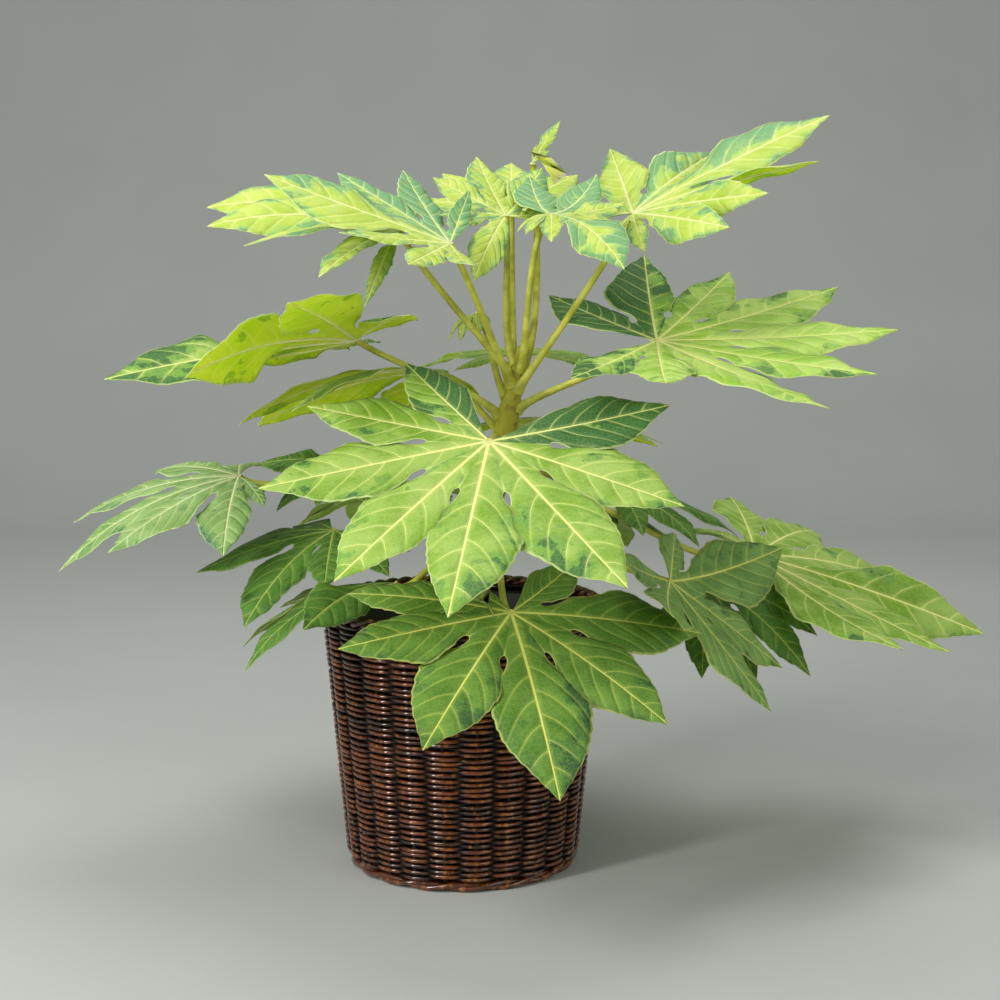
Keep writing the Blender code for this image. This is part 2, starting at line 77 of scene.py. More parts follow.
camera_data = bpy.data.cameras.new("photo_camera")
camera_data.lens = LENS_MM
camera_data.sensor_width = SENSOR_MM
camera = bpy.data.objects.new("photo_camera", camera_data)
camera.location = CAMERA_PLACE
camera.rotation_euler = (math.radians(90) - CAMERA_PITCH, 0, 0)
bpy.context.scene.collection.objects.link(camera)
bpy.context.scene.camera = camera
print("the picture is", round(-CAMERA_PLACE[1] * SENSOR_MM / LENS_MM, 2), "m wide at the basket")

# %% [markdown]
# ## Materials, nodes and colour
#
# Hex colours are how a monitor stores them, while the renderer mixes light in linear values,
# so one function turns the first into the second. One more adds a node with its settings and
# links and gives back one of its outputs, so that each step of a material is one statement.
# Three kinds of node do most of the work: the counting ones, FADE, which turns a range of
# values into a soft step from 0 to its fifth value, and MIX, which blends two colours.

# %% Colour
def linear(code):
    """An sRGB hex colour as linear red, green, blue and alpha."""
    stored = [int(code[i:i + 2], 16) / 255 for i in (0, 2, 4)]
    return (*(c / 12.92 if c <= 0.04045 else ((c + 0.055) / 1.055) ** 2.4 for c in stored), 1.0)


print("mid grey 808080 is", round(linear("808080")[0], 3), "in linear light")

# %% Kinds of node
# A kind is a node's type, the output that is wanted and its settings
PLACE = ("ShaderNodeTexCoord", "Object", {})
MARK = ("ShaderNodeAttribute", "Fac", {})
CORNER_MAP = ("ShaderNodeUVMap", 0, {})
JOIN, SPLIT = ("ShaderNodeCombineXYZ", 0, {}), ("ShaderNodeSeparateXYZ", "Z", {})
NOISE, LUCK = ("ShaderNodeTexNoise", 0, {}), ("ShaderNodeTexWhiteNoise", 0, {})
CELLS, NET = ("ShaderNodeTexVoronoi", 0, {}), ("ShaderNodeTexVoronoi", 0, {"feature": "DISTANCE_TO_EDGE"})
FADE = ("ShaderNodeMapRange", 0, {"interpolation_type": "SMOOTHSTEP"})
MIX = ("ShaderNodeMix", 2, {"data_type": "RGBA"})
BUMP = ("ShaderNodeBump", 0, {})
PLUS, MINUS, TIMES, OVER, TIMES_PLUS, SIZE_OF, ABOVE, WHOLE, TO_AND_FRO = (
    ("ShaderNodeMath", 0, {"operation": name})
    for name in (
        "ADD", "SUBTRACT", "MULTIPLY", "DIVIDE", "MULTIPLY_ADD", "ABSOLUTE", "GREATER_THAN", "FLOOR",
        "PINGPONG",
    )
)
print("a soft step is a", FADE[0], "with", FADE[2])


# %% Nodes
def add_node(material, kind, inputs, **own):
    """Adds a node. inputs maps a socket's name or number to a link or a plain value."""
    node_type, out, settings = kind
    node = material.node_tree.nodes.new(node_type)
    for key, value in {**settings, **own}.items():
        setattr(node, key, value)
    for key, value in inputs.items():
        if isinstance(value, bpy.types.NodeSocket):
            material.node_tree.links.new(value, node.inputs[key])
        else:
            node.inputs[key].default_value = value
    return node.outputs[out]


# %% Materials
def new_material(name, **values):
    """A material, its own adder of nodes and its Principled shader with its values set."""
    material = bpy.data.materials.new(name)
    material.use_nodes = True
    shader = material.node_tree.nodes["Principled BSDF"]
    for key, value in values.items():
        shader.inputs[key.replace("_", " ").title().replace("Ior", "IOR")].default_value = value
    return material, partial(add_node, material), shader


def finish_material(material, shader, colour, height, strength, distance):
    """Links the colour and a bump of the given depth in metres."""
    bump = add_node(material, BUMP, {"Height": height, "Strength": strength, "Distance": distance})
    material.node_tree.links.new(colour, shader.inputs["Base Color"])
    material.node_tree.links.new(bump, shader.inputs["Normal"])
    print(material.name, "has", len(material.node_tree.nodes), "nodes")
    return material


def put(name, bm, materials, replaced):
    """Makes a finished piece of a bmesh: it rides on the body and stands for its CAD node."""
    mesh = bpy.data.meshes.new(name)
    bm.to_mesh(mesh)
    bm.free()
    mesh.shade_smooth()
    for material in materials:
        mesh.materials.append(material)
    piece = bpy.data.objects.new(name, mesh)
    bpy.context.scene.collection.objects.link(piece)
    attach(piece, "root")
    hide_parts(replaced)
    mesh.calc_loop_triangles()
    print(name, "stands for", replaced, "with", len(mesh.loop_triangles), "triangles")


# %% [markdown]
# ## A rod along a path
#
# Willow rods, leaf stalks and the stem are all round rods that follow a path and change
# thickness on the way. Each one starts as a flat grid whose one direction runs along the path
# and whose other goes round it; the seam is then merged. A closed path, such as a round of
# weaving, has its two ends merged as well. A function gives the path's point at a share of its
# length, so that the same few lines serve for a straight stake and for a swinging rod.


# %% Rings of a rod
def rod_rings(point_at, radius_at, rings, side_hint):
    """Centre, two directions across and radius of every ring."""
    step = 0.25 / rings
    found = []
    for i in range(rings + 1):
        share = i / rings
        ahead = (point_at(share + step) - point_at(share - step)).normalized()
        across = (side_hint - side_hint.dot(ahead) * ahead).normalized()
        found.append((point_at(share), across, ahead.cross(across), radius_at(share)))
    return found


# %% Rods
def add_rod(bm, point_at, radius_at, rings, sides, closed=False, side_hint=Vector((0, 0, 1))):
    """Adds a rod and gives back its long faces. Both functions take a share from 0 to 1."""
    found = rod_rings(point_at, radius_at, rings, side_hint)
    fresh = bmesh.ops.create_grid(bm, x_segments=rings, y_segments=sides, size=1.0)["verts"]
    for vert in fresh:
        ring = round((vert.co.x + 1) / 2 * rings)
        turn = math.pi * (vert.co.y + 1)
        centre, across, other, radius = found[0 if closed and ring == rings else ring]
        vert.co = centre + radius * (math.cos(turn) * across + math.sin(turn) * other)
    bmesh.ops.remove_doubles(bm, verts=fresh, dist=1e-7)
    faces = list({face for vert in fresh if vert.is_valid for face in vert.link_faces})
    if not closed:
        open_edges = {edge for face in faces for edge in face.edges if edge.is_boundary}
        bmesh.ops.holes_fill(bm, edges=list(open_edges), sides=sides)
    bmesh.ops.recalc_face_normals(bm, faces=faces)
    return faces


def mark_points(faces, layer, value):
    """Writes a value on every point of some faces."""
    for vert in {vert for face in faces for vert in face.verts}:
        vert[layer] = value


# %% [markdown]
# ## Varnished willow
#
# The basket is woven of peeled willow rods, stained dark brown and varnished. The stain takes
# unevenly, so each rod has its own tone, with fine streaks along it. The grooves between the
# rods are painted near black, the deeper the darker: painted shade. The varnish is a thin, glossy
# coat, which gives the small bright glints on the crown of each rod. It thins out in the grooves,
# where a full coat would look frosty. Both marks, the rod's tone and the depth of the groove, are
# kept on the points of the mesh.


# %% Varnished willow
STREAK_SCALE, PATCH_SCALE = 1000 / 6.0, 34.0


def varnished_willow():
    """Streaks are about 6 mm long and patches of stain about 30 mm."""
    material, add, shader = new_material(
        "varnished_willow", roughness=0.50, ior=1.5, specular_ior_level=0.2, coat_roughness=0.10
    )
    place = add(PLACE, {})
    tone = add(MARK, {}, attribute_name="rod_tone")
    groove = add(MARK, {}, attribute_name="groove")
    streaks = add(NOISE, {"Vector": place, "Scale": STREAK_SCALE, "Detail": 4.0})
    patches = add(NOISE, {"Vector": place, "Scale": PATCH_SCALE, "Detail": 2.0})
    worn = add(PLUS, {0: tone, 1: patches})
    stained = add(FADE, {0: worn, 1: 0.25, 2: 1.55})
    brown = add(MIX, {0: stained, 6: linear("180902"), 7: linear("602C0A")})
    bare = add(FADE, {0: streaks, 1: 0.48, 2: 0.76})
    amber = add(MIX, {0: bare, 6: brown, 7: linear("9A5B19")})
    # Painted shade: the deeper a point lies in a groove, the nearer its colour goes to near black.
    deep = add(FADE, {0: groove, 1: 0.20, 2: 0.70})
    shaded = add(MIX, {0: deep, 6: amber, 7: linear("0A0502")})
    varnish = add(FADE, {0: groove, 1: 0.60, 2: 0.20, 4: 1.0})
    material.node_tree.links.new(varnish, shader.inputs["Coat Weight"])
    return finish_material(material, shader, shaded, streaks, 0.25, 0.0003)


willow = varnished_willow()

# %% [markdown]
# ## The weave
#
# Twenty-four upright stakes carry the weave. Each round of weaving passes in front of one
# stake and behind the next, and the round above does the opposite, so every stake shows a
# column of short, bulging rods with gaps as wide as half a rod between them. A round is one
# closed rod whose radius swings in and out with the stakes; it wanders a little in height and
# thickness, because no two rods are alike. The wall's measures repeat those of the frame.

# %% Basket measures
BASKET_HEIGHT, TOP_RADIUS, FOOT_RADIUS = 0.270, 0.144, 0.119
WEAVE_LOW, WEAVE_HIGH = 0.0115, 0.2600


def basket_radius(z):
    """Outer radius of the weave at a height."""
    return FOOT_RADIUS + (TOP_RADIUS - FOOT_RADIUS) * z / BASKET_HEIGHT


def weave_height(share):
    return WEAVE_LOW + (WEAVE_HIGH - WEAVE_LOW) * share


def round_about(radius, turn, z):
    """A point at a radius from the upright axis, a turn about it and a height."""
    return Vector((radius * math.cos(turn), radius * math.sin(turn), z))


print("the weave is", round(1000 * (WEAVE_HIGH - WEAVE_LOW)), "mm high")

# %% Stakes
STAKES, STAKE_RADIUS, STAKE_DEPTH = 24, 0.0025, 0.0056
# The stakes carry a fixed groove mark of 0.8, so the willow paints them near black, painted shade, and gives
# them a thin coat.
STAKE_TONE, STAKE_GROOVE_SHADE = 0.25, 0.8


def add_stakes(bm, tones, grooves):
    """Upright stakes between the rods, a little inside the weave's outer surface."""
    for k in range(STAKES):
        turn = math.tau * (k + 0.5) / STAKES

        def stake(share):
            z = weave_height(share)
            return round_about(basket_radius(z) - STAKE_DEPTH, turn, z)

        rod = add_rod(bm, stake, lambda share: STAKE_RADIUS, 4, 6, side_hint=Vector((0, 1, 0.1)))
        mark_points(rod, tones, STAKE_TONE)
        mark_points(rod, grooves, STAKE_GROOVE_SHADE)


# %% Rounds of weaving
ROUNDS, ROD_RADIUS, ROD_SIDES, RINGS_A_STAKE = 86, 0.0020, 6, 6
WEAVE_SWING, SWING_FULLNESS = 0.0074, 0.85
ROD_WANDER, THINNEST, THICKEST = 0.0007, 0.90, 1.10
DEEPEST_GROOVE = 0.006


def weaver_line(n, rng):
    """The line of one round, which swings in and out and wanders a little in height."""
    wanders = [rng.uniform(-ROD_WANDER, ROD_WANDER) for _ in range(3)]
    phases = [rng.uniform(0, math.tau) for _ in range(3)]
    start = rng.uniform(0, math.tau)

    def point_at(share):
        turn = math.tau * share + start
        z = weave_height((n + 0.5) / ROUNDS)
        z += sum(w * math.sin((j + 2) * turn + p) for j, (w, p) in enumerate(zip(wanders, phases)))
        swing = math.cos(STAKES / 2 * turn - math.pi / 2 + math.pi * n)
        swing = math.copysign(abs(swing) ** SWING_FULLNESS, swing)
        return round_about(basket_radius(z) - ROD_RADIUS * 1.05 - WEAVE_SWING * (1 - swing) / 2, turn, z)

    return point_at


def mark_grooves(bm, grooves, known):
    """Writes 0 on the weave's outer surface and 1 deep between its rods, after the known points.

    The willow paints shade in the grooves by this depth. Points that took a place left free by a
    merged one come earlier in the list and stay at 0, so that a few spots in the grooves get no
    painted shade and catch the light.
    """
    bm.verts.ensure_lookup_table()
    for vert in bm.verts[known:]:
        depth = (basket_radius(vert.co.z) - Vector(vert.co.xy).length) / DEEPEST_GROOVE
        vert[grooves] = max(0.0, min(1.0, depth))


# %% Wall
def wicker_bmesh():
    """An empty bmesh with layers for the two marks that the willow reads."""
    bm = bmesh.new()
    tones = bm.verts.layers.float.new("rod_tone")
    bm.verts.layers.float.new("groove")
    return bm, tones


def weave():
    rng = random.Random(24)
    bm, tones = wicker_bmesh()
    grooves = bm.verts.layers.float["groove"]
    add_stakes(bm, tones, grooves)
    for n in range(ROUNDS):
        thick = ROD_RADIUS * rng.uniform(THINNEST, THICKEST)
        line = weaver_line(n, rng)
        known = len(bm.verts)
        rod = add_rod(bm, line, lambda share: thick, STAKES * RINGS_A_STAKE, ROD_SIDES, closed=True)
        mark_points(rod, tones, rng.random())
        mark_grooves(bm, grooves, known)
    return bm


put("woven_wall", weave(), [willow], "basket_wall")

# %% [markdown]
# ## Borders, foot and base
#
# The stakes' ends are laid down and plaited round each other at the rim, which gives a rope of
# three thick rods. The foot border is a pair of such rods twisted round the bottom edge. Both
# are rods wound round a ring-shaped line, so one function makes them. The base is a woven
# disc: rings of rod swing up and down between crossed bottom sticks.

# %% Borders
BORDER_ROD, BORDER_RINGS, BORDER_SIDES = 0.0028, 192, 8
# Border rods take only the darker stain tones: partly the rods' own dark brown, partly painted shade on the
# rim.
LIGHTEST_SHADED_BORDER_TONE = 0.4
RIM_STRANDS, RIM_REACH, RIM_TWISTS, RIM_INSET = 3, 0.0033, 18, 0.0045
FOOT_STRANDS, FOOT_REACH, FOOT_TWISTS, FOOT_INSET = 2, 0.0021, 9, 0.006
RIM_CENTRE_Z, FOOT_CENTRE_Z = BASKET_HEIGHT - 0.0062, 0.005


def border(strands, centre, z, reach, twists):
    """Several rods wound round one ring-shaped line."""
    rng = random.Random(strands)
    bm, tones = wicker_bmesh()
    for k in range(strands):

        def strand(share):
            turn = math.tau * share
            twist = twists * turn + math.tau * k / strands
            return round_about(centre + reach * math.cos(twist), turn, z + reach * math.sin(twist))

        rod = add_rod(bm, strand, lambda share: BORDER_ROD, BORDER_RINGS, BORDER_SIDES, closed=True)
        mark_points(rod, tones, rng.uniform(0.0, LIGHTEST_SHADED_BORDER_TONE))
    return bm


rim_centre = basket_radius(RIM_CENTRE_Z) - RIM_INSET
rim = border(RIM_STRANDS, rim_centre, RIM_CENTRE_Z, RIM_REACH, RIM_TWISTS)
put("rim_border", rim, [willow], "basket_rim")
foot = border(FOOT_STRANDS, FOOT_RADIUS - FOOT_INSET, FOOT_CENTRE_Z, FOOT_REACH, FOOT_TWISTS)
put("foot_border", foot, [willow], "basket_foot")

# %% Woven base
BASE_EDGE, BASE_Z = FOOT_RADIUS - 0.0115, 0.0040
STICKS, STICK_RADIUS, STICK_TONE = 6, 0.0026, 0.4
BASE_ROUNDS, BASE_ROD, BASE_SWING = 26, 0.0021, 0.0017
INNERMOST, OUTERMOST = 0.006, BASE_EDGE - 0.0025


def woven_base():
    bm, tones = wicker_bmesh()
    rng = random.Random(5)
    for k in range(STICKS):
        end = round_about(BASE_EDGE * 0.985, math.pi * k / STICKS, 0)

        def stick(share):
            return end * (2 * share - 1) + Vector((0, 0, BASE_Z))

        rod = add_rod(bm, stick, lambda share: STICK_RADIUS, 2, 6)
        mark_points(rod, tones, STICK_TONE)
    for n in range(BASE_ROUNDS):
        radius = INNERMOST + (OUTERMOST - INNERMOST) * n / (BASE_ROUNDS - 1)

        def coil(share):
            turn = math.tau * share
            return round_about(radius, turn, BASE_Z + BASE_SWING * math.cos(2 * STICKS * turn + math.pi * n))

        rod = add_rod(bm, coil, lambda share: BASE_ROD, 48, 5, closed=True)
        mark_points(rod, tones, rng.random())
    return bm


put("woven_base", woven_base(), [willow], "basket_base")

# %% [markdown]
# ## Nursery pot
#
# The grower's pot is black polypropylene, moulded, with a rolled lip and thin walls. Its
# surface is a fine matt texture with a faint grey dust of dried water. A profile is spun about
# the upright axis, with the inner wall in the same profile, so the wall has its thickness.


# %% Pot measures
POT_LOW, POT_HEIGHT, POT_WALL = 0.0083, 0.245, 0.0022
POT_FOOT_RADIUS, POT_TOP_RADIUS = 0.098, 0.126
POT_HIGH = POT_LOW + POT_HEIGHT
LIP_LOW = POT_HIGH - 0.018
SPIN_STEPS = 96


def pot_radius(z):
    return POT_FOOT_RADIUS + (POT_TOP_RADIUS - POT_FOOT_RADIUS) * (z - POT_LOW) / POT_HEIGHT


def spun(profile, steps):
    """A profile of (radius, height) points spun about the upright axis."""
    bm = bmesh.new()
    verts = [bm.verts.new((r, 0, z)) for r, z in profile]
    edges = [bm.edges.new(pair) for pair in zip(verts, verts[1:])]
    bmesh.ops.spin(
        bm, geom=verts + edges, cent=(0, 0, 0), axis=(0, 0, 1), angle=math.tau, steps=steps, use_merge=True
    )
    bmesh.ops.remove_doubles(bm, verts=bm.verts, dist=1e-6)
    bmesh.ops.recalc_face_normals(bm, faces=bm.faces)
    return bm


# %% Moulded polypropylene
def moulded_polypropylene():
    material, add, shader = new_material("moulded_black_polypropylene", roughness=0.5, ior=1.49)
    place = add(PLACE, {})
    dust = add(NOISE, {"Vector": place, "Scale": 45.0, "Detail": 5.0})
    dusty = add(FADE, {0: dust, 1: 0.45, 2: 0.75})
    colour = add(MIX, {0: dusty, 6: linear("131415"), 7: linear("2A2A29")})
    grain = add(NOISE, {"Vector": place, "Scale": 1500.0, "Detail": 2.0})
    return finish_material(material, shader, colour, grain, 0.2, 0.0002)


# %% Nursery pot
lip_radius, rim_radius = pot_radius(LIP_LOW), pot_radius(POT_HIGH)
outside = [
    (0.0, POT_LOW), (0.090, POT_LOW), (0.0975, POT_LOW + 0.0006), (pot_radius(0.012), 0.012),
    (lip_radius, LIP_LOW - 0.0004), (lip_radius + 0.0030, LIP_LOW), (lip_radius + 0.0035, LIP_LOW + 0.001),
]
lip = [
    (rim_radius + 0.0033, POT_HIGH - 0.001), (rim_radius + 0.0020, POT_HIGH),
    (rim_radius - 0.0014, POT_HIGH), (rim_radius - POT_WALL, POT_HIGH - 0.001),
]
floor_z = POT_LOW + POT_WALL
inside = [(pot_radius(floor_z) - POT_WALL, floor_z), (0.0, floor_z)]
pot = spun(outside + lip + inside, SPIN_STEPS)
put("plastic_pot", pot, [moulded_polypropylene()], "nursery_pot")

# %% [markdown]
# ## Potting mix
#
# The mix is bark, peat and coco fibre in crumbs of 2 to 8 mm. The filling is spun like the pot
# and its top is cut fine, then each point is lifted by noise of two sizes, which gives crumbs
# that catch the light. The material's brown darkens from each crumb's middle to its edge:
# painted shade in the gaps between the crumbs.


# %% Bark and peat
def crumbly_mix():
    """Crumbs are about 5 mm across and pale flecks about 2 mm."""
    material, add, shader = new_material("bark_and_peat_mix", roughness=0.95)
    place = add(PLACE, {})
    crumbs = add(CELLS, {"Vector": place, "Scale": 190.0})
    # Painted shade: the brown darkens from each crumb's middle to the gaps between crumbs.
    between = add(FADE, {0: crumbs, 1: 0.1, 2: 0.7})
    brown = add(MIX, {0: between, 6: linear("4A3324"), 7: linear("1B110B")})
    flecks = add(NOISE, {"Vector": place, "Scale": 420.0, "Detail": 3.0})
    pale = add(FADE, {0: flecks, 1: 0.58, 2: 0.72})
    colour = add(MIX, {0: pale, 6: brown, 7: linear("7A5B3E")})
    height = add(MINUS, {0: 1.0, 1: crumbs})
    return finish_material(material, shader, colour, height, 0.9, 0.002)


# %% Potting mix
MIX_LOW, MIX_HIGH = POT_LOW + 0.0025, POT_HIGH - 0.022
MIX_CLEAR, MIX_DOME, TOP_RINGS = 0.0031, 0.007, 40


def potting_mix():
    """A filling with a slightly domed, crumbly top."""
    shares = [1 - i / TOP_RINGS for i in range(TOP_RINGS)]
    top_radius = pot_radius(MIX_HIGH) - MIX_CLEAR
    top = [(top_radius * s, MIX_HIGH + MIX_DOME * (1 - s ** 2)) for s in shares]
    bottom = [(0.0, MIX_LOW), (pot_radius(MIX_LOW) - MIX_CLEAR, MIX_LOW)]
    bm = spun([*bottom, *top, (0.0, MIX_HIGH + MIX_DOME)], 128)
    for vert in bm.verts:
        if vert.co.z > MIX_HIGH - 0.002:
            edge_fade = 1 - (Vector(vert.co.xy).length / pot_radius(MIX_HIGH)) ** 8
            lift = noise.noise(vert.co * 170) * 0.0022 + noise.noise(vert.co * 60) * 0.0016
            vert.co.z += (lift - 0.002) * edge_fade
    return bm


put("potting_mix", potting_mix(), [crumbly_mix()], "soil")

# %% [markdown]
# ## The stem and the leaf stalks
#
# A young fatsia stem is green, with a crescent scar where each fallen leaf stood. Each stalk
# leaves it with a broad, clasping base, arches outwards and comes up under its leaf. The
# stalk's path is a Bezier curve with four points, the same one as in the frame's solid.

# %% Stem measures
STEM_FOOT_X, STEM_FOOT_Z, STEM_STRAIGHT_Z, STEM_TOP_Z = 0.012, 0.160, 0.250, 0.524
STEM_LEAN, STEM_LEAN_CURVE = 0.048, 1.15
STEM_RADIUS, CROWN_Z, CROWN_RADIUS, CROWN_TAPER, BUD_RADIUS = 0.0112, 0.445, 0.0118, 1.4, 0.0040


def stem_centre(z):
    share = max(0.0, z - STEM_STRAIGHT_Z) / (STEM_TOP_Z - STEM_STRAIGHT_Z)
    return Vector((STEM_FOOT_X + STEM_LEAN * share ** STEM_LEAN_CURVE, 0.0, z))


def stem_tangent(z):
    return (stem_centre(z + 0.002) - stem_centre(z - 0.002)).normalized()


def stem_radius(z):
    if z <= CROWN_Z:
        return STEM_RADIUS + (CROWN_RADIUS - STEM_RADIUS) * (z - STEM_FOOT_Z) / (CROWN_Z - STEM_FOOT_Z)
    share = (z - CROWN_Z) / (STEM_TOP_Z - CROWN_Z)
    return CROWN_RADIUS + (BUD_RADIUS - CROWN_RADIUS) * share ** CROWN_TAPER


print("the stem's top leans", round(1000 * stem_centre(STEM_TOP_Z).x), "mm to the right")


# %% Green bark
def green_bark():
    """Olive below and yellower towards the crown, with corky specks of about 8 mm."""
    material, add, shader = new_material("young_green_bark", roughness=0.55, ior=1.45)
    place = add(PLACE, {})
    height = add(SPLIT, {0: place})
    mottle = add(NOISE, {"Vector": place, "Scale": 120.0, "Detail": 4.0})
    # The colour lightens towards the crown: partly the young bark's own yellow, partly painted light on the
    # shaded crown.
    young = add(FADE, {0: height, 1: 0.34, 2: 0.45})
    green = add(MIX, {0: young, 6: linear("7E7844"), 7: linear("B4AE2E")})
    corky = add(FADE, {0: mottle, 1: 0.50, 2: 0.78})
    colour = add(MIX, {0: corky, 6: green, 7: linear("8A7434")})
    return finish_material(material, shader, colour, mottle, 0.4, 0.0006)


# %% Stem
SCAR_PITCH, SCAR_RIDGE = 0.021, 0.0004


def stem():
    """The stem, ringed by a low ridge at every leaf scar."""
    bm = bmesh.new()

    def centre(share):
        return stem_centre(STEM_FOOT_Z + (STEM_TOP_Z - STEM_FOOT_Z) * share)

    def radius(share):
        z = STEM_FOOT_Z + (STEM_TOP_Z - STEM_FOOT_Z) * share
        ridge = max(0.0, math.cos(math.tau * z / SCAR_PITCH)) ** 8
        return stem_radius(z) - SCAR_RIDGE * (1 - ridge)

    add_rod(bm, centre, radius, 150, 20, side_hint=Vector((1, 0, 0)))
    return bm


put("green_stem", stem(), [green_bark()], "stem")

# %% [markdown]
# ## The leaf blade
#
# A fatsia blade is a hand of seven to nine lobes that meet at the top of the stalk. Each lobe
# is a flat grid, one way from the hub to the tip and the other way across, that is bent into
# place: it narrows to a waist between the rounded notches, swells, and runs out in a point,
# with small forward teeth, a channel along the midrib and a gentle wave in the margin. Grids
# of neighbouring lobes share an edge from the hub to the notch, and are merged there. The
# outline, bends and places are those of the frame's solids.

# %% Bending a lobe
SINUS_DEPTH, TWIST_LENGTH = 0.32, 0.25
STRAIGHTEST = 0.01


class Lobe:
    """One finger of the blade, bent downwards along its midrib and twisted about it."""

    def __init__(self, angle, length, droop, twist):
        self.twist = math.radians(twist)
        self.angle = math.radians(angle)
        self.length = length
        self.bend = math.radians(droop if abs(droop) > STRAIGHTEST else STRAIGHTEST)

    def place(self, along, across, lift=0.0):
        """Flat lobe coordinates to the leaf's own frame."""
        twisted = self.twist * max(0.0, min(1.0, (along / self.length - SINUS_DEPTH) / TWIST_LENGTH))
        across, lift = (
            across * math.cos(twisted) - lift * math.sin(twisted),
            across * math.sin(twisted) + lift * math.cos(twisted),
        )
        turned_by = self.bend * along / self.length
        reach = self.length * math.sin(turned_by) / self.bend
        fall = -self.length * (1 - math.cos(turned_by)) / self.bend
        outward = Vector((math.cos(self.angle), math.sin(self.angle), 0))
        left = Vector((-outward.y, outward.x, 0))
        up = math.sin(turned_by) * outward + math.cos(turned_by) * Vector((0, 0, 1))
        return reach * outward + Vector((0, 0, fall)) + across * left + lift * up


def lobes_of(lobe_rows, droop):
    """A row is an angle, a length in mm and, where it has them, its own droop and twist."""
    lobes = []
    for angle, length_mm, *own in lobe_rows:
        lobe_droop = own[0] if own else droop
        twist = own[1] if len(own) > 1 else 0.0
        lobes.append(Lobe(angle, length_mm / 1000, lobe_droop, twist))
    return lobes


trial = Lobe(0, 0.2, 30, 0)
print("a lobe of 200 mm that droops by 30 degrees falls", round(-1000 * trial.place(0.2, 0).z), "mm")

# %% Outline of a lobe
WIDEST_AT, LOBE_FILL, MOST_HALF_WIDTH = 0.55, 1.12, 0.248
TIP_FULLNESS, ACUMINATE = 1.85, 0.14
NOTCH_HOLE, NOTCH_HOLE_END, FULL_LOBE = 0.0042, 0.38, 0.18
TOOTH_PITCH, TOOTH_DEPTH = 0.0125, 0.0016


def smooth(low, high, value):
    """A soft step from 0 at low to 1 at high."""
    t = max(0.0, min(1.0, (value - low) / (high - low)))
    return t * t * (3 - 2 * t)


def tip_width(taper):
    """Share of the widest width left between the widest place, 0, and the tip, 1."""
    return (1 - taper ** TIP_FULLNESS) * (1 - ACUMINATE * smooth(0.60, 1.0, taper))


def edge_of(lobe, notch, share, tooth_phase):
    """Flat (along, across) of a lobe's edge at a share of its length from the hub."""
    radius, half, shared = notch
    start, notch_half = radius * math.cos(half), radius * math.sin(half)
    if share <= SINUS_DEPTH:
        inner = share / SINUS_DEPTH
        return start * inner, notch_half * (inner if shared else inner ** 1.25)
    along = start + (lobe.length - start) * (share - SINUS_DEPTH) / (1 - SINUS_DEPTH)
    widest = WIDEST_AT * lobe.length
    widest_half = min(LOBE_FILL * widest * math.tan(half), MOST_HALF_WIDTH * lobe.length)
    if along >= widest:
        across = widest_half * tip_width((along - widest) / (lobe.length - widest))
    else:
        out = (along - start) / (widest - start)
        across = notch_half + (widest_half - notch_half) * out
        if shared:
            hole = math.sin(math.pi * min(1.0, out / NOTCH_HOLE_END))
            across -= NOTCH_HOLE * min(1.0, lobe.length / FULL_LOBE) * math.sqrt(hole)
    tooth = (along / TOOTH_PITCH + tooth_phase) % 1.0
    bite = TOOTH_DEPTH * (1 - tooth) * smooth(0.40, 0.52, share) * smooth(0.0, 0.010, across)
    return along, max(0.0, across - bite)


print("halfway from its widest place to its tip a lobe keeps", round(tip_width(0.5), 2), "of its width")

# %% [markdown]
# ## Relief of the blade
#
# The blade isn't flat between its edges. It sinks to the midrib in a channel, its margin turns
# down and waves a little, and where two lobes overlap beyond their notch, one lies above the
# other. Points before the notch are drawn halfway towards the neighbour's edge, so that the
# two grids meet in one line and their points can be merged.

# %% Relief of the blade
EDGE_TURN_DOWN, VEIN_CHANNEL, OVERLAP_LIFT = 0.06, 0.24, 0.0013
MARGIN_WAVE, WAVE_LENGTH = 0.0020, 0.058


def relief(along, half_width, share, v, wave_phase, has_neighbour):
    """How far a point stands above the flat lobe."""
    t = abs(v)
    beyond = smooth(SINUS_DEPTH, SINUS_DEPTH + 0.18, share)
    lift = half_width * VEIN_CHANNEL * (t - t * t) * smooth(0.0, SINUS_DEPTH, share)
    lift -= half_width * EDGE_TURN_DOWN * t * t * beyond
    wave = math.sin(math.tau * (along / WAVE_LENGTH + wave_phase))
    lift += MARGIN_WAVE * wave * t ** 2.2 * beyond * smooth(0, 0.02, half_width)
    if has_neighbour:
        over = smooth(SINUS_DEPTH, 0.48, share) * smooth(0.95, 0.70, share)
        lift += math.copysign(OVERLAP_LIFT, v) * t ** 4 * over
    return lift


def blade_point(lobe, neighbour, edge, share, v, wave_phase):
    """A point's place and flat coordinates. v runs from -1 on the right edge to 1 on the left."""
    edge_along, half_width = edge
    along = lobe.length * share + (edge_along - lobe.length * share) * abs(v)
    across = v * half_width
    lift = relief(along, half_width, share, v, wave_phase, neighbour is not None)
    point = lobe.place(along, across, lift)
    if neighbour is not None and share <= SINUS_DEPTH:
        own_edge = lobe.place(edge_along, math.copysign(half_width, v))
        their_edge = neighbour.place(edge_along, -math.copysign(half_width, v))
        point += (their_edge - own_edge) / 2 * v * v
    return point, along, across


# %% One lobe
ROWS, HUB_ROWS = 62, 9
COLUMNS = (-1.0, -0.84, -0.60, -0.33, -0.10, 0.0, 0.10, 0.33, 0.60, 0.84, 1.0)
CORNER_MAPS = ("lobe", "share", "marks")


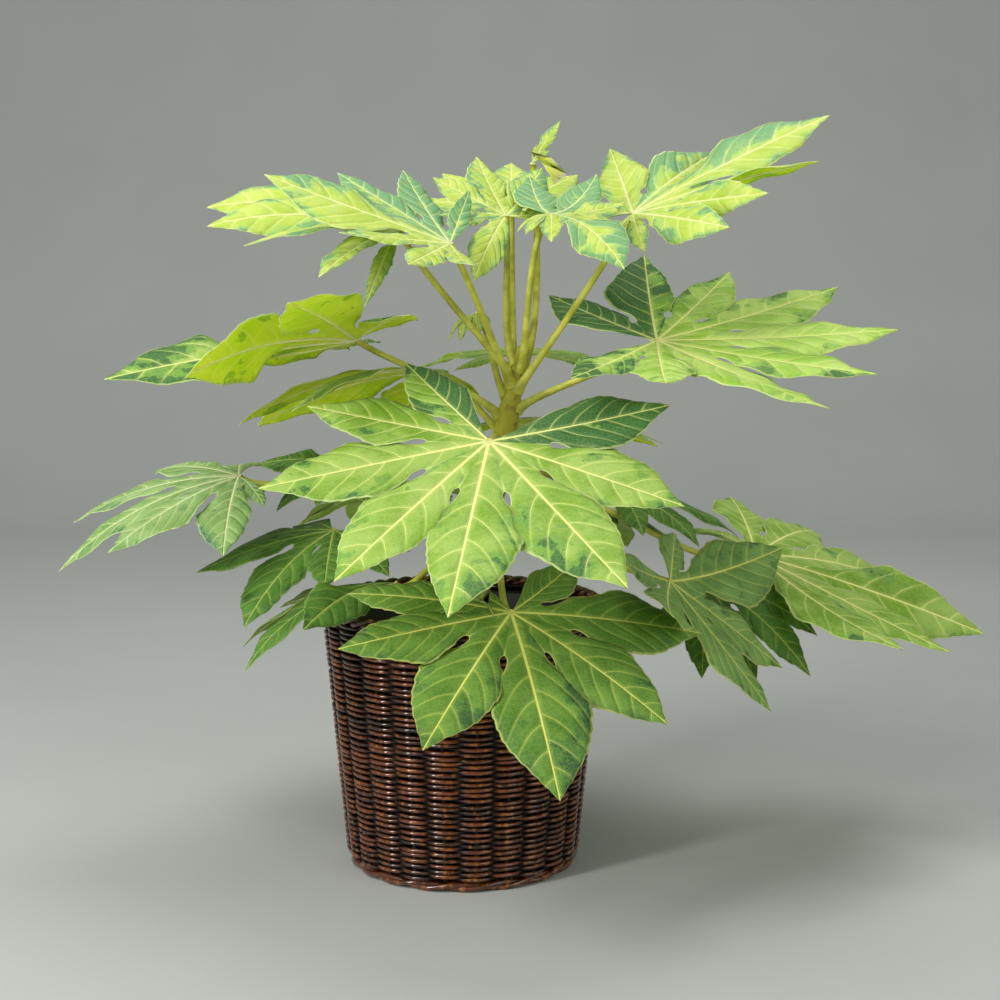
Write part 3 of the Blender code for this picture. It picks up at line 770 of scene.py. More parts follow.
def row_share(row):
    """Rows stand closer beyond the notch, where the outline is finer."""
    if row <= HUB_ROWS:
        return SINUS_DEPTH * row / HUB_ROWS
    return SINUS_DEPTH + (1 - SINUS_DEPTH) * (row - HUB_ROWS) / (ROWS - HUB_ROWS)


def mark_lobe(bm, fresh, flat, darkness, seed):
    """Gives each corner its place on the lobe, and how dark its half is to be."""
    lobe_map, share_map, marks_map = (bm.loops.layers.uv[layer] for layer in CORNER_MAPS)
    for face in {face for vert in fresh for face in vert.link_faces}:
        middle = sum(flat[loop.vert][1] for loop in face.loops)
        dark = darkness[0 if middle < 0 else 1]
        for loop in face.loops:
            share, v, along, across = flat[loop.vert]
            loop[lobe_map].uv = (along, across)
            loop[share_map].uv = (share, v)
            loop[marks_map].uv = (dark, seed)


def add_lobe(bm, lobe, notches, neighbours, darkness, rng):
    """Adds a lobe's grid. The pairs stand for its right and its left side."""
    phases = [rng.random() for _ in range(4)]
    seed = rng.random()
    fresh = bmesh.ops.create_grid(bm, x_segments=ROWS, y_segments=len(COLUMNS) - 1, size=1.0)["verts"]
    edges = [
        [edge_of(lobe, notch, row_share(row), phase) for row in range(ROWS + 1)]
        for notch, phase in zip(notches, phases)
    ]
    flat = {}
    for vert in fresh:
        row = round((vert.co.x + 1) / 2 * ROWS)
        v = COLUMNS[round((vert.co.y + 1) / 2 * (len(COLUMNS) - 1))]
        side = 0 if v < 0 else 1
        share = row_share(row)
        place = blade_point(lobe, neighbours[side], edges[side][row], share, v, phases[2 + side])
        vert.co, along, across = place
        flat[vert] = (share, v, along / lobe.length, across / lobe.length)
    mark_lobe(bm, fresh, flat, darkness, seed)


# %% Blade
BLADE_THICKNESS = 0.0006


def notches_between(lobes):
    """Each notch as its distance from the hub, half its angle, and whether it is shared."""
    return [
        (SINUS_DEPTH * min(a.length, b.length), abs(b.angle - a.angle) / 2, True)
        for a, b in zip(lobes, lobes[1:])
    ]


def add_blade(bm, lobes, dark_halves, rng):
    """All lobes, merged where they meet and given their thickness. The outer two have an end."""
    for layer in CORNER_MAPS:
        bm.loops.layers.uv.new(layer)
    shared = notches_between(lobes)
    notches = [(*shared[0][:2], False), *shared, (*shared[-1][:2], False)]
    beside = [None, *lobes, None]
    for i, lobe in enumerate(lobes):
        darkness = dark_halves.get(i, (0.0, 0.0))
        add_lobe(bm, lobe, (notches[i], notches[i + 1]), (beside[i], beside[i + 2]), darkness, rng)
    bmesh.ops.remove_doubles(bm, verts=bm.verts, dist=1e-5)
    bm.normal_update()
    under = bmesh.ops.solidify(bm, geom=bm.faces[:], thickness=BLADE_THICKNESS)["geom"]
    for item in under:
        if isinstance(item, bmesh.types.BMFace):
            item.material_index = 1


# %% Midribs
MIDRIB_RADIUS, MIDRIB_TAPER, MIDRIB_REACH, MIDRIB_SUNK = 0.0014, 0.82, 0.93, 0.75


def add_midrib(bm, lobe):
    """A rib stands out under the blade, a little sunk into it, and thins towards the tip."""
    def thickness(share):
        return MIDRIB_RADIUS * min(1.0, lobe.length / FULL_LOBE) * (1 - MIDRIB_TAPER * share)

    def midrib(share):
        below = BLADE_THICKNESS + MIDRIB_SUNK * thickness(max(0.0, share))
        return lobe.place(lobe.length * MIDRIB_REACH * max(0.0, share), 0.0, -below)

    for face in add_rod(bm, midrib, thickness, 14, 6):
        face.material_index = 3


# %% Stalk path
PETIOLE_GAP = 0.0006
ARCH_ABOVE_CLIMB, STEEPEST_LAUNCH = math.radians(28), math.radians(52)
FIRST_REACH, STEEP_FIRST_REACH, LAST_REACH = 0.38, 0.20, 0.26
PETIOLE_MEETS_BLADE = math.radians(42)
START_INSIDE, END_BELOW_HUB = 0.004, 0.0010


def stalk_path(stem_z, azimuth, leaf_axes, hub):
    """The four points of the stalk's curve, from the stem to just under the hub."""
    centre, tangent = stem_centre(stem_z), stem_tangent(stem_z)
    if azimuth is None:
        away = Vector((hub.x - centre.x, hub.y - centre.y, 0))
    else:
        away = round_about(1.0, math.radians(azimuth), 0)
    outward = (away - away.dot(tangent) * tangent).normalized()
    start = centre + outward * (stem_radius(stem_z) + PETIOLE_GAP)
    span = (hub - start).length
    climb = math.asin(max(-1.0, min(1.0, (hub.z - start.z) / span)))
    launch = min(climb + ARCH_ABOVE_CLIMB, STEEPEST_LAUNCH)
    first_reach = FIRST_REACH if launch < STEEPEST_LAUNCH else STEEP_FIRST_REACH
    first = outward * math.cos(launch) + Vector((0, 0, 1)) * math.sin(launch)
    arrive = math.cos(PETIOLE_MEETS_BLADE) * leaf_axes.col[0]
    arrive += math.sin(PETIOLE_MEETS_BLADE) * leaf_axes.col[2]
    end = hub - END_BELOW_HUB * leaf_axes.col[2]
    inside = start - outward * START_INSIDE
    return inside, start + first * span * first_reach, end - arrive * span * LAST_REACH, end


def on_curve(points, t):
    """The Bezier curve's point at t, from 0 to 1."""
    weights = ((1 - t) ** 3, 3 * t * (1 - t) ** 2, 3 * t * t * (1 - t), t ** 3)
    return sum((w * p for w, p in zip(weights, points)), Vector())


# %% Stalk
PETIOLE_BASE_RADIUS, PETIOLE_RADIUS, PETIOLE_TAPER, SWELL_FADE = 0.0074, 0.0037, 0.20, 13
HUB_FLARE, FLARE_FADE = 0.0006, 30


def stalk_radius(t):
    """Broad where it clasps the stem, slender on the way and flared a little at the hub."""
    swell = (PETIOLE_BASE_RADIUS - PETIOLE_RADIUS) * math.exp(-t * SWELL_FADE)
    flare = HUB_FLARE * math.exp(-(1 - t) * FLARE_FADE)
    return PETIOLE_RADIUS * (1 - PETIOLE_TAPER * t) + swell + flare


def add_stalk(bm, leaves_stem, axes, hub):
    """leaves_stem is a height in mm, or a height and the direction in which the stalk leaves."""
    stem_mm, azimuth = leaves_stem if isinstance(leaves_stem, tuple) else (leaves_stem, None)
    points = stalk_path(stem_mm / 1000, azimuth, axes, hub)
    hint = stem_tangent(stem_mm / 1000)
    for face in add_rod(bm, lambda t: on_curve(points, t), stalk_radius, 40, 12, side_hint=hint):
        face.material_index = 2


print("a stalk is", [round(2000 * stalk_radius(t), 1) for t in (0, 0.5, 1)], "mm thick on its way")


# %% A whole leaf
def leaf_frame(heading, pitch, roll):
    """Columns: along the middle lobe, to its left, and up out of the blade."""
    turn = Matrix.Rotation(math.radians(heading), 3, "Z")
    dip = Matrix.Rotation(math.radians(pitch), 3, "Y")
    tilt = Matrix.Rotation(math.radians(roll), 3, "X")
    return turn @ dip @ tilt


def leaf_mesh(seed, row, dark_halves):
    """Blade, midribs and stalk: materials are upper skin, lower skin, rind and rib."""
    hub_mm, heading, pitch, roll, droop, leaves_stem, *lobe_rows = row
    hub = Vector(hub_mm) / 1000
    axes = leaf_frame(heading, pitch, roll)
    lobes = lobes_of(lobe_rows, droop)
    bm = bmesh.new()
    add_blade(bm, lobes, dark_halves, random.Random(seed))
    for lobe in lobes:
        add_midrib(bm, lobe)
    bmesh.ops.transform(bm, matrix=Matrix.Translation(hub) @ axes.to_4x4(), verts=bm.verts)
    add_stalk(bm, leaves_stem, axes, hub)
    return bm


# %% [markdown]
# ## The veins
#
# A pale midrib runs up each lobe. Side veins leave it at about sixty degrees, curve forward
# and loop together near the margin, and a fine net fills the fields between them. All of it is
# drawn in each lobe's own coordinates, as shares of the lobe's length, so that it follows the
# bends. The side veins come from one rising number that is whole on each vein: how far along
# the lobe a point is, less a part that grows away from the midrib, over the veins' pitch.

# %% Lobe coordinates
def lobe_coordinates(add):
    """The three pairs of values that each corner of a blade carries."""
    pairs = []
    for layer in CORNER_MAPS:
        both = add(CORNER_MAP, {}, uv_map=layer)
        split = add(SPLIT, {0: both}).node
        pairs.append((split.outputs["X"], split.outputs["Y"]))
    return pairs


# %% Side veins
SIDE_VEIN_PITCH, VEIN_SLANT, VEIN_CURVE = 0.128, 0.50, 4.6
LEFT_SIDE_SHIFT, COUNT_FROM = 0.42, 20.0


def vein_order(add, along, off_rib, on_left):
    """Counts the side veins outwards: a whole number on each vein, with the lines bent forward."""
    forward = add(TIMES_PLUS, {0: off_rib, 1: VEIN_CURVE, 2: VEIN_SLANT})
    bent = add(TIMES, {0: off_rib, 1: forward})
    level = add(MINUS, {0: along, 1: bent})
    left = {0: on_left, 1: LEFT_SIDE_SHIFT, 2: COUNT_FROM}
    shift = add(TIMES_PLUS, left)
    return add(TIMES_PLUS, {0: level, 1: 1 / SIDE_VEIN_PITCH, 2: shift})


print("a lobe has about", round(1 / SIDE_VEIN_PITCH), "side veins on each side")

# %% Vein lines
VEINLET_SCALE = 42.0


def vein_lines(add, palette, order, off_rib, edge, reach, ground_place):
    """How much of each line shows at a place: midrib, side vein, net and margin, with soft halos."""
    rib_width = add(TIMES_PLUS, {0: reach, 1: -0.0070, 2: 0.0094})
    from_rib = add(OVER, {0: off_rib, 1: rib_width})
    from_vein = add(TO_AND_FRO, {0: order, 1: 0.5})
    fading = add(FADE, {0: edge, 1: 1.0, 2: 0.45, 4: palette["net"]})
    thin_line = add(FADE, {0: from_vein, 1: 0.030, 2: 0.010})
    side_vein = add(TIMES, {0: thin_line, 1: fading})
    side_halo = add(FADE, {0: from_vein, 1: 0.16, 2: 0.02, 4: 0.12})
    rib = add(FADE, {0: from_rib, 1: 1.0, 2: 0.55})
    rib_halo = add(FADE, {0: from_rib, 1: 5.0, 2: 0.8, 4: 0.15})
    net = add(NET, {"Vector": ground_place, "Scale": VEINLET_SCALE})
    veinlet = add(FADE, {0: net, 1: 0.09, 2: 0.0, 4: 0.10})
    beyond = add(FADE, {0: reach, 1: 0.20, 2: 0.34, 4: 0.8})
    at_edge = add(FADE, {0: edge, 1: 0.935, 2: 0.975})
    margin = add(TIMES, {0: at_edge, 1: beyond})
    return (veinlet, side_halo, rib_halo, side_vein, rib), margin, from_rib, from_vein


# %% [markdown]
# ## Variegation
#
# The green is patchy: the light ground of the blade holds darker, blue-green fields, mostly
# near margins and tips. Many of them end at a side vein, and their other borders are frayed.
# So the score that decides where it is dark adds up the luck of the field between two veins, a
# noise in the lobe's own coordinates, how near the tip and the margin the place is, and how
# dark that half of the lobe is to be. The palette says how strongly the margin pulls.

# %% Dark fields
LUCK_WEIGHT, FRAYED_WEIGHT, TIP_WEIGHT = 0.24, 1.1, 0.24


def dark_score(add, palette, order, on_left, place, reach, edge, dark, seed):
    """Over 1 where the blade is darker."""
    field = add(WHOLE, {0: order})
    key = add(JOIN, {0: field, 1: on_left, 2: seed})
    luck = add(LUCK, {"Vector": key})
    frayed = add(NOISE, {"Vector": place, "Scale": 7.0, "Detail": 4.0, "Roughness": 0.60})
    score = add(TIMES_PLUS, {0: luck, 1: LUCK_WEIGHT, 2: palette["patchy"]})
    pulls = ((frayed, FRAYED_WEIGHT), (reach, TIP_WEIGHT), (edge, palette["edge_pull"]), (dark, 1.0))
    for value, weight in pulls:
        score = add(TIMES_PLUS, {0: value, 1: weight, 2: score})
    return score


# %% [markdown]
# ## Leaf colours
#
# The youngest leaves, at the top, are pale cream-green with grey-green fields. Those in the
# middle are bright lime green, and the oldest, nearest the pot, are an even mid to dark green.
# Undersides are yellower, because the light that reaches the eye there has come through the
# blade. Each palette gives the ground's two shades, the two darker fields, the veins, the
# pale line at the margin, the underside's shades, how patchy the leaf is, how strongly its
# margin is darkened, and how clearly its net of side veins shows. Two more palettes are lighter
# copies: of the middle one, painted light for a middle leaf that stands in more light, and of
# the old one, for one old leaf.

# %% Palettes
PALETTES = {
    "young": dict(
        ground=("A4BC3E", "C1D166"), middle="9DC068", dark="70A06C", vein="EAF0A0", margin="D6E28E",
        under=("B0C81C", "CEDC3C"), under_dark="93B434", patchy=-0.07, edge_pull=0.42, net=0.45,
    ),
    "middle": dict(
        ground=("719726", "9CB65A"), middle="6E9842", dark="3C6836", vein="E4E88C", margin="C6D68A",
        under=("C2D820", "DAE840"), under_dark="86A62C", patchy=-0.015, edge_pull=0.20, net=0.52,
    ),
    "dull": dict(
        ground=("70924C", "8EAC68"), middle="6A8E50", dark="4A7350", vein="DCE4A8", margin="B9CB92",
        under=("93AC55", "ABC06C"), under_dark="6E8C4C", patchy=-0.03, edge_pull=0.20, net=0.50,
    ),
    "old": dict(
        ground=("4E7526", "6A8E3A"), middle="4C7434", dark="345A30", vein="D8DC70", margin="B4B968",
        under=("8AA644", "A3BA5C"), under_dark="688448", patchy=-0.03, edge_pull=0.20, net=0.34,
    ),
    "deep": dict(
        ground=("3E6522", "567E34"), middle="385A22", dark="284826", vein="AEBD60", margin="7F9A4C",
        under=("77903A", "8FA656"), under_dark="566E36", patchy=-0.08, edge_pull=0.18, net=0.45,
    ),
}
# Two lighter copies: bright is painted light for a middle leaf in more light, the last a lighter copy of the
# old palette.
PALETTES["bright"] = dict(PALETTES["middle"], ground=("7FA92A", "B0CB66"), middle="74A046")
PALETTES["lighter_old"] = dict(PALETTES["old"], ground=("5F8440", "7B9C54"), middle="55793E")
print("leaf palettes:", ", ".join(PALETTES))


# %% Blade colour
def blade_colour(add, palette, underside, score, ground_place, lines, margin):
    """Ground, darker fields, then the veins laid over them."""
    cloud = add(NOISE, {"Vector": ground_place, "Scale": 4.0, "Detail": 7.0, "Roughness": 0.62})
    shade = add(FADE, {0: cloud, 1: 0.34, 2: 0.66})
    ground = [linear(code) for code in palette["under" if underside else "ground"]]
    colour = add(MIX, {0: shade, 6: ground[0], 7: ground[1]})
    if underside:
        fields = ((1.10, 0.7, palette["under_dark"]),)
    else:
        fields = ((1.03, 0.85, palette["middle"]), (1.13, 0.96, palette["dark"]))
    for start, strength, code in fields:
        share = add(FADE, {0: score, 1: start, 2: start + 0.03, 4: strength})
        colour = add(MIX, {0: share, 6: colour, 7: linear(code)})
    for share in lines:
        colour = add(MIX, {0: share, 6: colour, 7: linear(palette["vein"])})
    return add(MIX, {0: margin, 6: colour, 7: linear(palette["margin"])})


# %% [markdown]
# ## The skin of a leaf
#
# Fatsia leaves are leathery: satin above, matt below, where they are also paler. The fields
# between the veins stand up a little, like quilting, and the underside has the same relief
# turned over. A blade lets light through, so both skins scatter it under the surface, the lower
# one more, which makes the undersides glow against the light.

# %% Quilting
def quilting(add, side_sign, from_rib, from_vein, veinlet):
    """Height of the fields between veins. side_sign is 1 above and -1 below."""
    field = add(FADE, {0: from_vein, 1: 0.0, 2: 0.34, 4: side_sign})
    beside_rib = add(FADE, {0: from_rib, 1: 0.6, 2: 4.0})
    quilt = add(TIMES, {0: field, 1: beside_rib})
    return add(TIMES_PLUS, {0: veinlet, 1: -1.6 * side_sign, 2: quilt})


# %% Blade skin
LEAF_SCATTER = (0.8, 1.0, 0.25)
UPPER_SKIN = dict(roughness=0.50, specular_ior_level=0.24, subsurface_weight=0.60)
LOWER_SKIN = dict(roughness=0.66, specular_ior_level=0.10, subsurface_weight=0.85)


def leaf_skin(name, palette, underside):
    """A blade's upper or lower skin."""
    gloss = LOWER_SKIN if underside else UPPER_SKIN
    material, add, shader = new_material(
        name, ior=1.42, subsurface_radius=LEAF_SCATTER, subsurface_scale=0.0022, **gloss
    )
    (along, across), (reach, side), (dark, seed) = lobe_coordinates(add)
    off_rib = add(SIZE_OF, {0: across})
    edge = add(SIZE_OF, {0: side})
    on_left = add(ABOVE, {0: across, 1: 0.0})
    order = vein_order(add, along, off_rib, on_left)
    ground_place = add(JOIN, {0: along, 1: across, 2: seed})
    veins = vein_lines(add, palette, order, off_rib, edge, reach, ground_place)
    lines, margin, from_rib, from_vein = veins
    score = dark_score(add, palette, order, on_left, ground_place, reach, edge, dark, seed)
    colour = blade_colour(add, palette, underside, score, ground_place, lines, margin)
    height = quilting(add, -1.0 if underside else 1.0, from_rib, from_vein, lines[0])
    return finish_material(material, shader, colour, height, 0.80, 0.0012)


# %% Stalk skin
def stalk_skin(name, low, high, speck, glow):
    """Smooth rind in two shades with small specks; glow is how much light passes it."""
    material, add, shader = new_material(
        name, roughness=0.45, ior=1.45, subsurface_weight=glow, subsurface_radius=LEAF_SCATTER,
        subsurface_scale=0.0015,
    )
    place = add(PLACE, {})
    mottle = add(NOISE, {"Vector": place, "Scale": 60.0, "Detail": 3.0})
    shade = add(FADE, {0: mottle, 1: 0.35, 2: 0.65})
    green = add(MIX, {0: shade, 6: linear(low), 7: linear(high)})
    specks = add(CELLS, {"Vector": place, "Scale": 260.0})
    specked = add(FADE, {0: specks, 1: 0.16, 2: 0.08, 4: 0.5})
    colour = add(MIX, {0: specked, 6: green, 7: linear(speck)})
    return finish_material(material, shader, colour, mottle, 0.2, 0.0004)


# %% Leaf materials
rind = stalk_skin("smooth_leaf_stalk_rind", "A4A52E", "C6C54E", "6E6A2E", 0.15)
# The rib's near-white is partly its own pale colour and partly painted light, lifting it out of the shade
# under the blade.
pale_rib_with_painted_light = stalk_skin("pale_raised_midrib_with_painted_light", "F2F4A4", "FCFCC0", "DCDE88", 0.75)
leaf_materials = {}
for tone, palette in PALETTES.items():
    upper = leaf_skin(tone + "_leaf_upper_skin", palette, False)
    lower = leaf_skin(tone + "_leaf_lower_skin", palette, True)
    leaf_materials[tone] = [upper, lower, rind, pale_rib_with_painted_light]

# %% [markdown]
# ## Placing the leaves
#
# Every leaf is one row: its hub in mm, its heading, pitch and roll, its droop, where it leaves
# the stem, and its lobes, the same numbers as the frame's solids. A tone is chosen for each
# leaf by its age and light, and a small table says which lobes carry much more dark green on
# one or both of their halves.

# %% Leaf table
LEAVES = {
    "leaf_front_upper": (
        (28, -150, 444), -95, 33, -2, 4, 418, (-141, 143, -3), (-103, 180, -1), (-69, 215, 1), (-32, 221),
        (-4, 231, 1), (35, 228, 1), (67, 194, 3), (108, 174, -5),
    ),
    "leaf_front_lower": (
        (48, -200, 294), -74, 30, 1, 14, 372, (-147, 69, 19), (-114, 152), (-81, 164, 4), (-38, 179),
        (-2, 209), (39, 176), (81, 181, 11), (125, 95, -14),
    ),
    "leaf_right_middle": (
        (191, -40, 532), 3, 0, 18, -5, 462, (-129, 150), (-95, 160, -13), (-58, 236, -5, -18), (-32, 221),
        (0, 238), (32, 245), (61, 211), (87, 196, -15), (130, 152),
    ),
    "leaf_left_middle": (
        (-105, 0, 531), 197, 4, 19, 16, 452, (-110, 90, -30), (-74, 115, -35), (-37, 150, -12),
        (1, 251, 9, -46), (32, 230, 28, 42), (63, 221, 9, 14), (100, 140),
    ),
    "leaf_left_inner": (
        (-24, 60, 497), 178, -4, 12, 34, 436, (-105, 120), (-70, 170), (-32, 252, 27), (0, 220, 39),
        (36, 184, 43), (68, 56, 50), (100, 42),
    ),
    "leaf_left_low": (
        (-225, 0, 394), 192, 7, -12, 31, 392, (-95, 115), (-59, 158, 19), (-25, 200), (3, 206, 40),
        (30, 162, 22), (76, 133), (108, 62),
    ),
    "leaf_left_rim": (
        (-130, 0, 339), 231, 12, -3, 27, 348, (-112, 100), (-76, 130), (-40, 144, 18), (4, 156, 37),
        (38, 120, 16), (74, 104), (108, 85),
    ),
    "leaf_front_left_rim": (
        (-64, -82, 300), 210, -6, 8, 34, 330, (-98, 105, 24), (-64, 148, 22), (-33, 165, 48),
        (1, 182, 57), (32, 164, 31, -35),
    ),
    "leaf_front_right_rim": (
        (199, -120, 308), -23, 47, 2, -4, 338, (-112, 97, -16), (-72, 122, -25), (-2, 153, 3),
        (34, 156, 2), (78, 185, -32), (113, 105, 1),
    ),
    "leaf_right_low": (
        (306, 60, 304), 4, 16, 20, 6, 386, (-95, 70), (-57, 220, -17), (-30, 222, -3), (-1, 264, 7, 30),
        (27, 252, 20), (60, 210, 20), (91, 180, 15), (126, 105, 34),
    ),
    "leaf_right_inner": (
        (157, 90, 370), -5, 4, 1, 32, 404, (-100, 60, 20), (-66, 98, 42), (-34, 125, 42), (0, 142),
        (34, 135), (70, 110), (104, 85),
    ),
    "leaf_right_rim": (
        (248, 20, 284), -42, 15, 17, 41, 322, (-84, 100), (-52, 124), (-27, 137), (-1, 151),
        (26, 130, 41, 12), (54, 146, 41, 26), (90, 100),
    ),
    "leaf_back_middle": (
        (62, 140, 512), 95, -5, 0, 20, 474, (-114, 85), (-76, 120), (-38, 145), (0, 150), (38, 145),
        (76, 120), (114, 85),
    ),
    "leaf_top_left": (
        (-9, -80, 625), 186, -19, -21, -2, 486, (-94, 78, -58), (-66, 148, -8), (-36, 150, 0, -12),
        (0, 184, -2, -18), (38, 130, -2, 12), (70, 105), (104, 84, -20),
    ),
    "leaf_top_left_back": (
        (-61, 0, 639), 163, -22, -5, 31, (494, 168), (-95, 120), (-62, 165, 12, -30), (-30, 198, 20, -35),
        (1, 215, 31, -38), (29, 191, 33, -30), (58, 176, 28, 20), (88, 160, 28, 20), (104, 118, 72),
    ),
    "leaf_top_centre": (
        (44, -20, 652), 118, -32, 0, 10, (504, 140), (-84, 80, 10), (-44, 104, -16), (-6, 106, -8),
        (34, 88, 0, -20), (72, 66, 20), (136, 82, 78),
    ),
    "leaf_top_front": (
        (86, -60, 653), -45, 5, 0, 45, (502, 296), (-114, 40, 60), (-78, 48, 50), (-44, 62, 48, 20),
        (-6, 120, 44, 34), (36, 74, 20, 30), (72, 84, -20, 20), (108, 112, -42), (146, 116, -34),
    ),
    "leaf_top_right": (
        (170, 12, 656), -13, -21, 22, 5, (482, -48), (-122, 50, 20), (-86, 66, 40), (-54, 160, 5, 20),
        (-30, 156, 5, 30), (-3, 189, 11, -34), (24, 230, 5, 18), (58, 162, 10, 45), (96, 140, -28),
        (132, 104, 0),
    ),
    "leaf_back_right": (
        (90, 160, 440), 70, 5, 0, 22, 428, (-108, 95), (-72, 130), (-36, 160), (0, 170), (36, 160),
        (72, 130), (108, 95),
    ),
    "leaf_back_left_low": (
        (-60, 140, 370), 120, 10, 0, 28, 366, (-114, 85), (-76, 120), (-38, 150), (0, 160), (38, 150),
        (76, 120), (114, 85),
    ),
    "leaf_back_right_low": (
        (120, 150, 345), 60, 12, 0, 28, 344, (-114, 80), (-76, 110), (-38, 140), (0, 150), (38, 140),
        (76, 110), (114, 80),
    ),
    "leaf_left_behind": (
        (-116, 70, 399), 176, -4, -4, 30, (410, 158), (-98, 84), (-62, 108), (-28, 132, 19, -24),
        (6, 112, 43), (42, 104, 52), (78, 104), (118, 116, 30),
    ),
    "leaf_top_back": (
        (50, 92, 664), 90, -28, 0, 6, (490, 95), (-114, 62), (-76, 96), (-38, 118), (0, 124), (38, 122),
        (76, 105), (114, 75),
    ),
    "young_leaf_spike": (
        (71, 65, 708), 0, -60, 40, 10, (500, 35), (-32, 22), (0, 51), (32, 22),
    ),
    "young_leaf_curled": (
        (13, 42, 556), 215, 10, 0, 70, (474, 165), (-96, 24), (-50, 36), (-15, 42), (20, 42), (56, 36),
        (100, 24),
    ),
}

# %% Tones
AGE_TONES = {
    "young": (
        "leaf_top_left", "leaf_top_left_back", "leaf_top_centre", "leaf_top_front", "leaf_top_right",
        "leaf_top_back", "young_leaf_spike", "young_leaf_curled",
    ),
    "bright": ("leaf_right_middle",),
    "dull": ("leaf_left_low",),
    "lighter_old": ("leaf_front_right_rim",),
    "old": ("leaf_front_lower", "leaf_back_left_low"),
    "deep": (
        "leaf_left_rim", "leaf_front_left_rim", "leaf_right_inner", "leaf_right_rim",
        "leaf_back_right_low", "leaf_left_behind",
    ),
}
TONE_OF_LEAF = {name: tone for tone, names in AGE_TONES.items() for name in names}
print(len(LEAVES), "leaves, of which", len(LEAVES) - len(TONE_OF_LEAF), "have the middle tone")

# %% Dark halves
# Lobe number, then how much darker its right half and its left half are
DARK_HALVES = {
    "leaf_front_upper": {0: (0.50, 0.16), 7: (0.40, 0.50), 3: (0.06, 0.0), 4: (0.0, 0.06)},
    "leaf_front_lower": {4: (0.0, 0.20), 3: (0.0, 0.10), 2: (0.10, 0.05)},
    "leaf_right_middle": {7: (0.25, 0.50), 8: (0.50, 0.50), 6: (0.0, 0.15), 0: (0.2, 0.2)},
    "leaf_left_middle": {0: (0.3, 0.3), 3: (0.2, 0.25)},
    "leaf_top_left": {0: (0.4, 0.4), 1: (0.5, 0.5), 2: (0.48, 0.30), 3: (0.12, 0.0)},
    "leaf_top_centre": {1: (0.2, 0.0), 4: (0.3, 0.2)},
    "leaf_top_front": {3: (0.1, 0.25), 6: (0.45, 0.45), 7: (0.45, 0.45)},
    "leaf_top_right": {5: (0.0, 0.2), 6: (0.1, 0.25)},
}
print(sum(len(halves) for halves in DARK_HALVES.values()), "lobes are darkened")

# %% Leaves
for name, row in LEAVES.items():
    skins = leaf_materials[TONE_OF_LEAF.get(name, "middle")]
    bm = leaf_mesh(name, row, DARK_HALVES.get(name, {}))
    put(name.replace("leaf_", "foliage_"), bm, skins, name)

# %% [markdown]
# ## Floor, backdrop and light
#
# A pale, matt floor sweeps up into a backdrop: one edge is extruded backwards, round a quarter
# of a circle and up. A soft key lamp above and to the left of the camera models the leaves, a
# tall, narrow one at the left draws the glints on the willow, a weak one fills from the right,
# and one above lets light through the blades. The grey sky all round keeps the shadows open.

# %% Floor
FLOOR_HALF_WIDTH, FLOOR_FRONT, FLOOR_DROP = 6, -4, 0.0002
BEND_START, BEND_RADIUS, BEND_STEPS, BACKDROP_TOP = 2.2, 1.2, 12, 6.0


def floor_profile():
    """The floor's line into the backdrop, as depths and heights."""
    turns = [math.pi / 2 * i / BEND_STEPS for i in range(BEND_STEPS + 1)]
    bend = [(BEND_START + BEND_RADIUS * math.sin(a), BEND_RADIUS * (1 - math.cos(a))) for a in turns]
    return [*((y, z - FLOOR_DROP) for y, z in bend), (BEND_START + BEND_RADIUS, BACKDROP_TOP)]


def floor_mesh():
    bm = bmesh.new()
    corners = [bm.verts.new((x, FLOOR_FRONT, -FLOOR_DROP)) for x in (-FLOOR_HALF_WIDTH, FLOOR_HALF_WIDTH)]
    edge = bm.edges.new(corners)
    for y, z in floor_profile():
        fresh = bmesh.ops.extrude_edge_only(bm, edges=[edge])["geom"]
        ends = [item for item in fresh if isinstance(item, bmesh.types.BMVert)]
        for vert in ends:
            vert.co.y, vert.co.z = y, z
        edge = bm.edges.get(ends)
    bmesh.ops.recalc_face_normals(bm, faces=bm.faces)
    mesh = bpy.data.meshes.new("floor")
    bm.to_mesh(mesh)
    bm.free()
    mesh.shade_smooth()
    return mesh


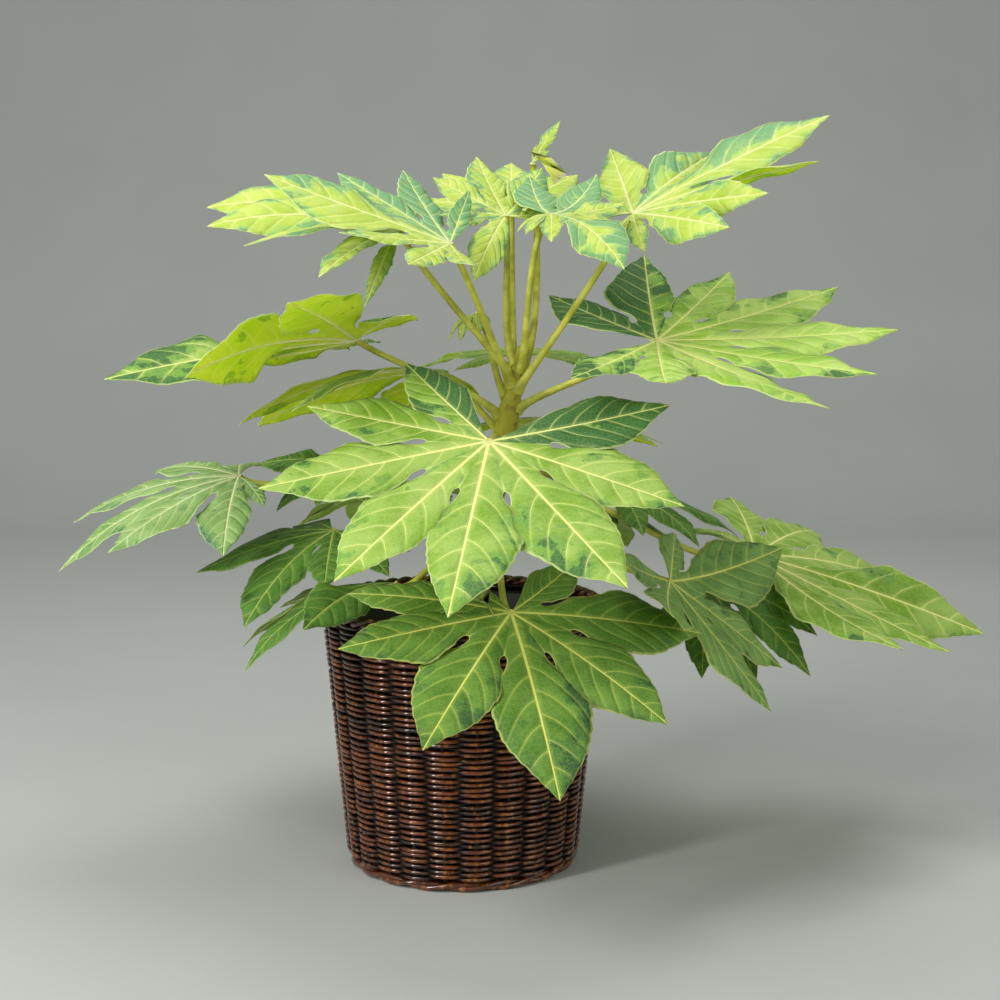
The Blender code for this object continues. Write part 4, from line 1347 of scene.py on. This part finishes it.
# %% Painted floor
def painted_floor():
    """Matt paint, cloudy over about 300 mm."""
    material, add, shader = new_material("matt_painted_floor", roughness=0.85)
    place = add(PLACE, {})
    cloud = add(NOISE, {"Vector": place, "Scale": 3.0, "Detail": 3.0})
    colour = add(MIX, {0: cloud, 6: linear("A9ABA4"), 7: linear("B2B4AD")})
    return finish_material(material, shader, colour, cloud, 0.1, 0.001)


sheet = bpy.data.objects.new("floor", floor_mesh())
sheet.data.materials.append(painted_floor())
bpy.context.scene.collection.objects.link(sheet)
sheet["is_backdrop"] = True


# %% Lights
def soft_lamp(name, place, aim, size, watts):
    """A rectangular lamp at a place, turned towards its aim."""
    data = bpy.data.lights.new(name, "AREA")
    data.shape, data.energy = "RECTANGLE", watts
    data.size, data.size_y = size
    lamp = bpy.data.objects.new(name, data)
    lamp.location = place
    lamp.rotation_euler = (Vector(aim) - Vector(place)).to_track_quat("-Z", "Y").to_euler()
    bpy.context.scene.collection.objects.link(lamp)
    print(name, "lamp:", watts, "W")


soft_lamp("key", (-1.3, -1.5, 2.6), (0.05, 0, 0.4), (1.1, 1.1), 35)
soft_lamp("strip", (-1.55, -1.40, 1.0), (0.0, 0, 0.2), (0.24, 1.3), 30)
soft_lamp("fill", (2.0, -1.8, 1.4), (0.05, 0, 0.4), (1.6, 1.6), 20)
soft_lamp("top", (0.3, 0.5, 2.9), (0.05, 0, 0.5), (1.4, 1.4), 27)

# %% Sky
SKY_COLOUR, SKY_STRENGTH = "DDE2E8", 0.52

world = bpy.data.worlds.new("grey_sky")
world.use_nodes = True
world.node_tree.nodes["Background"].inputs["Color"].default_value = linear(SKY_COLOUR)
world.node_tree.nodes["Background"].inputs["Strength"].default_value = SKY_STRENGTH
bpy.context.scene.world = world
bpy.context.scene.view_settings.view_transform = "Standard"
print("sky strength", SKY_STRENGTH)

# %% [markdown]
# ## Size
#
# The frame's box and the dressed plant's box are both printed. The dressed plant has to stay
# in the frame's box.

# %% Size
look_box = [list(corner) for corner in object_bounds()]
for label, box in (("CAD", cad_box), ("visual", look_box)):
    print(label, "box in mm:", [[round(1000 * c, 1) for c in corner] for corner in box])
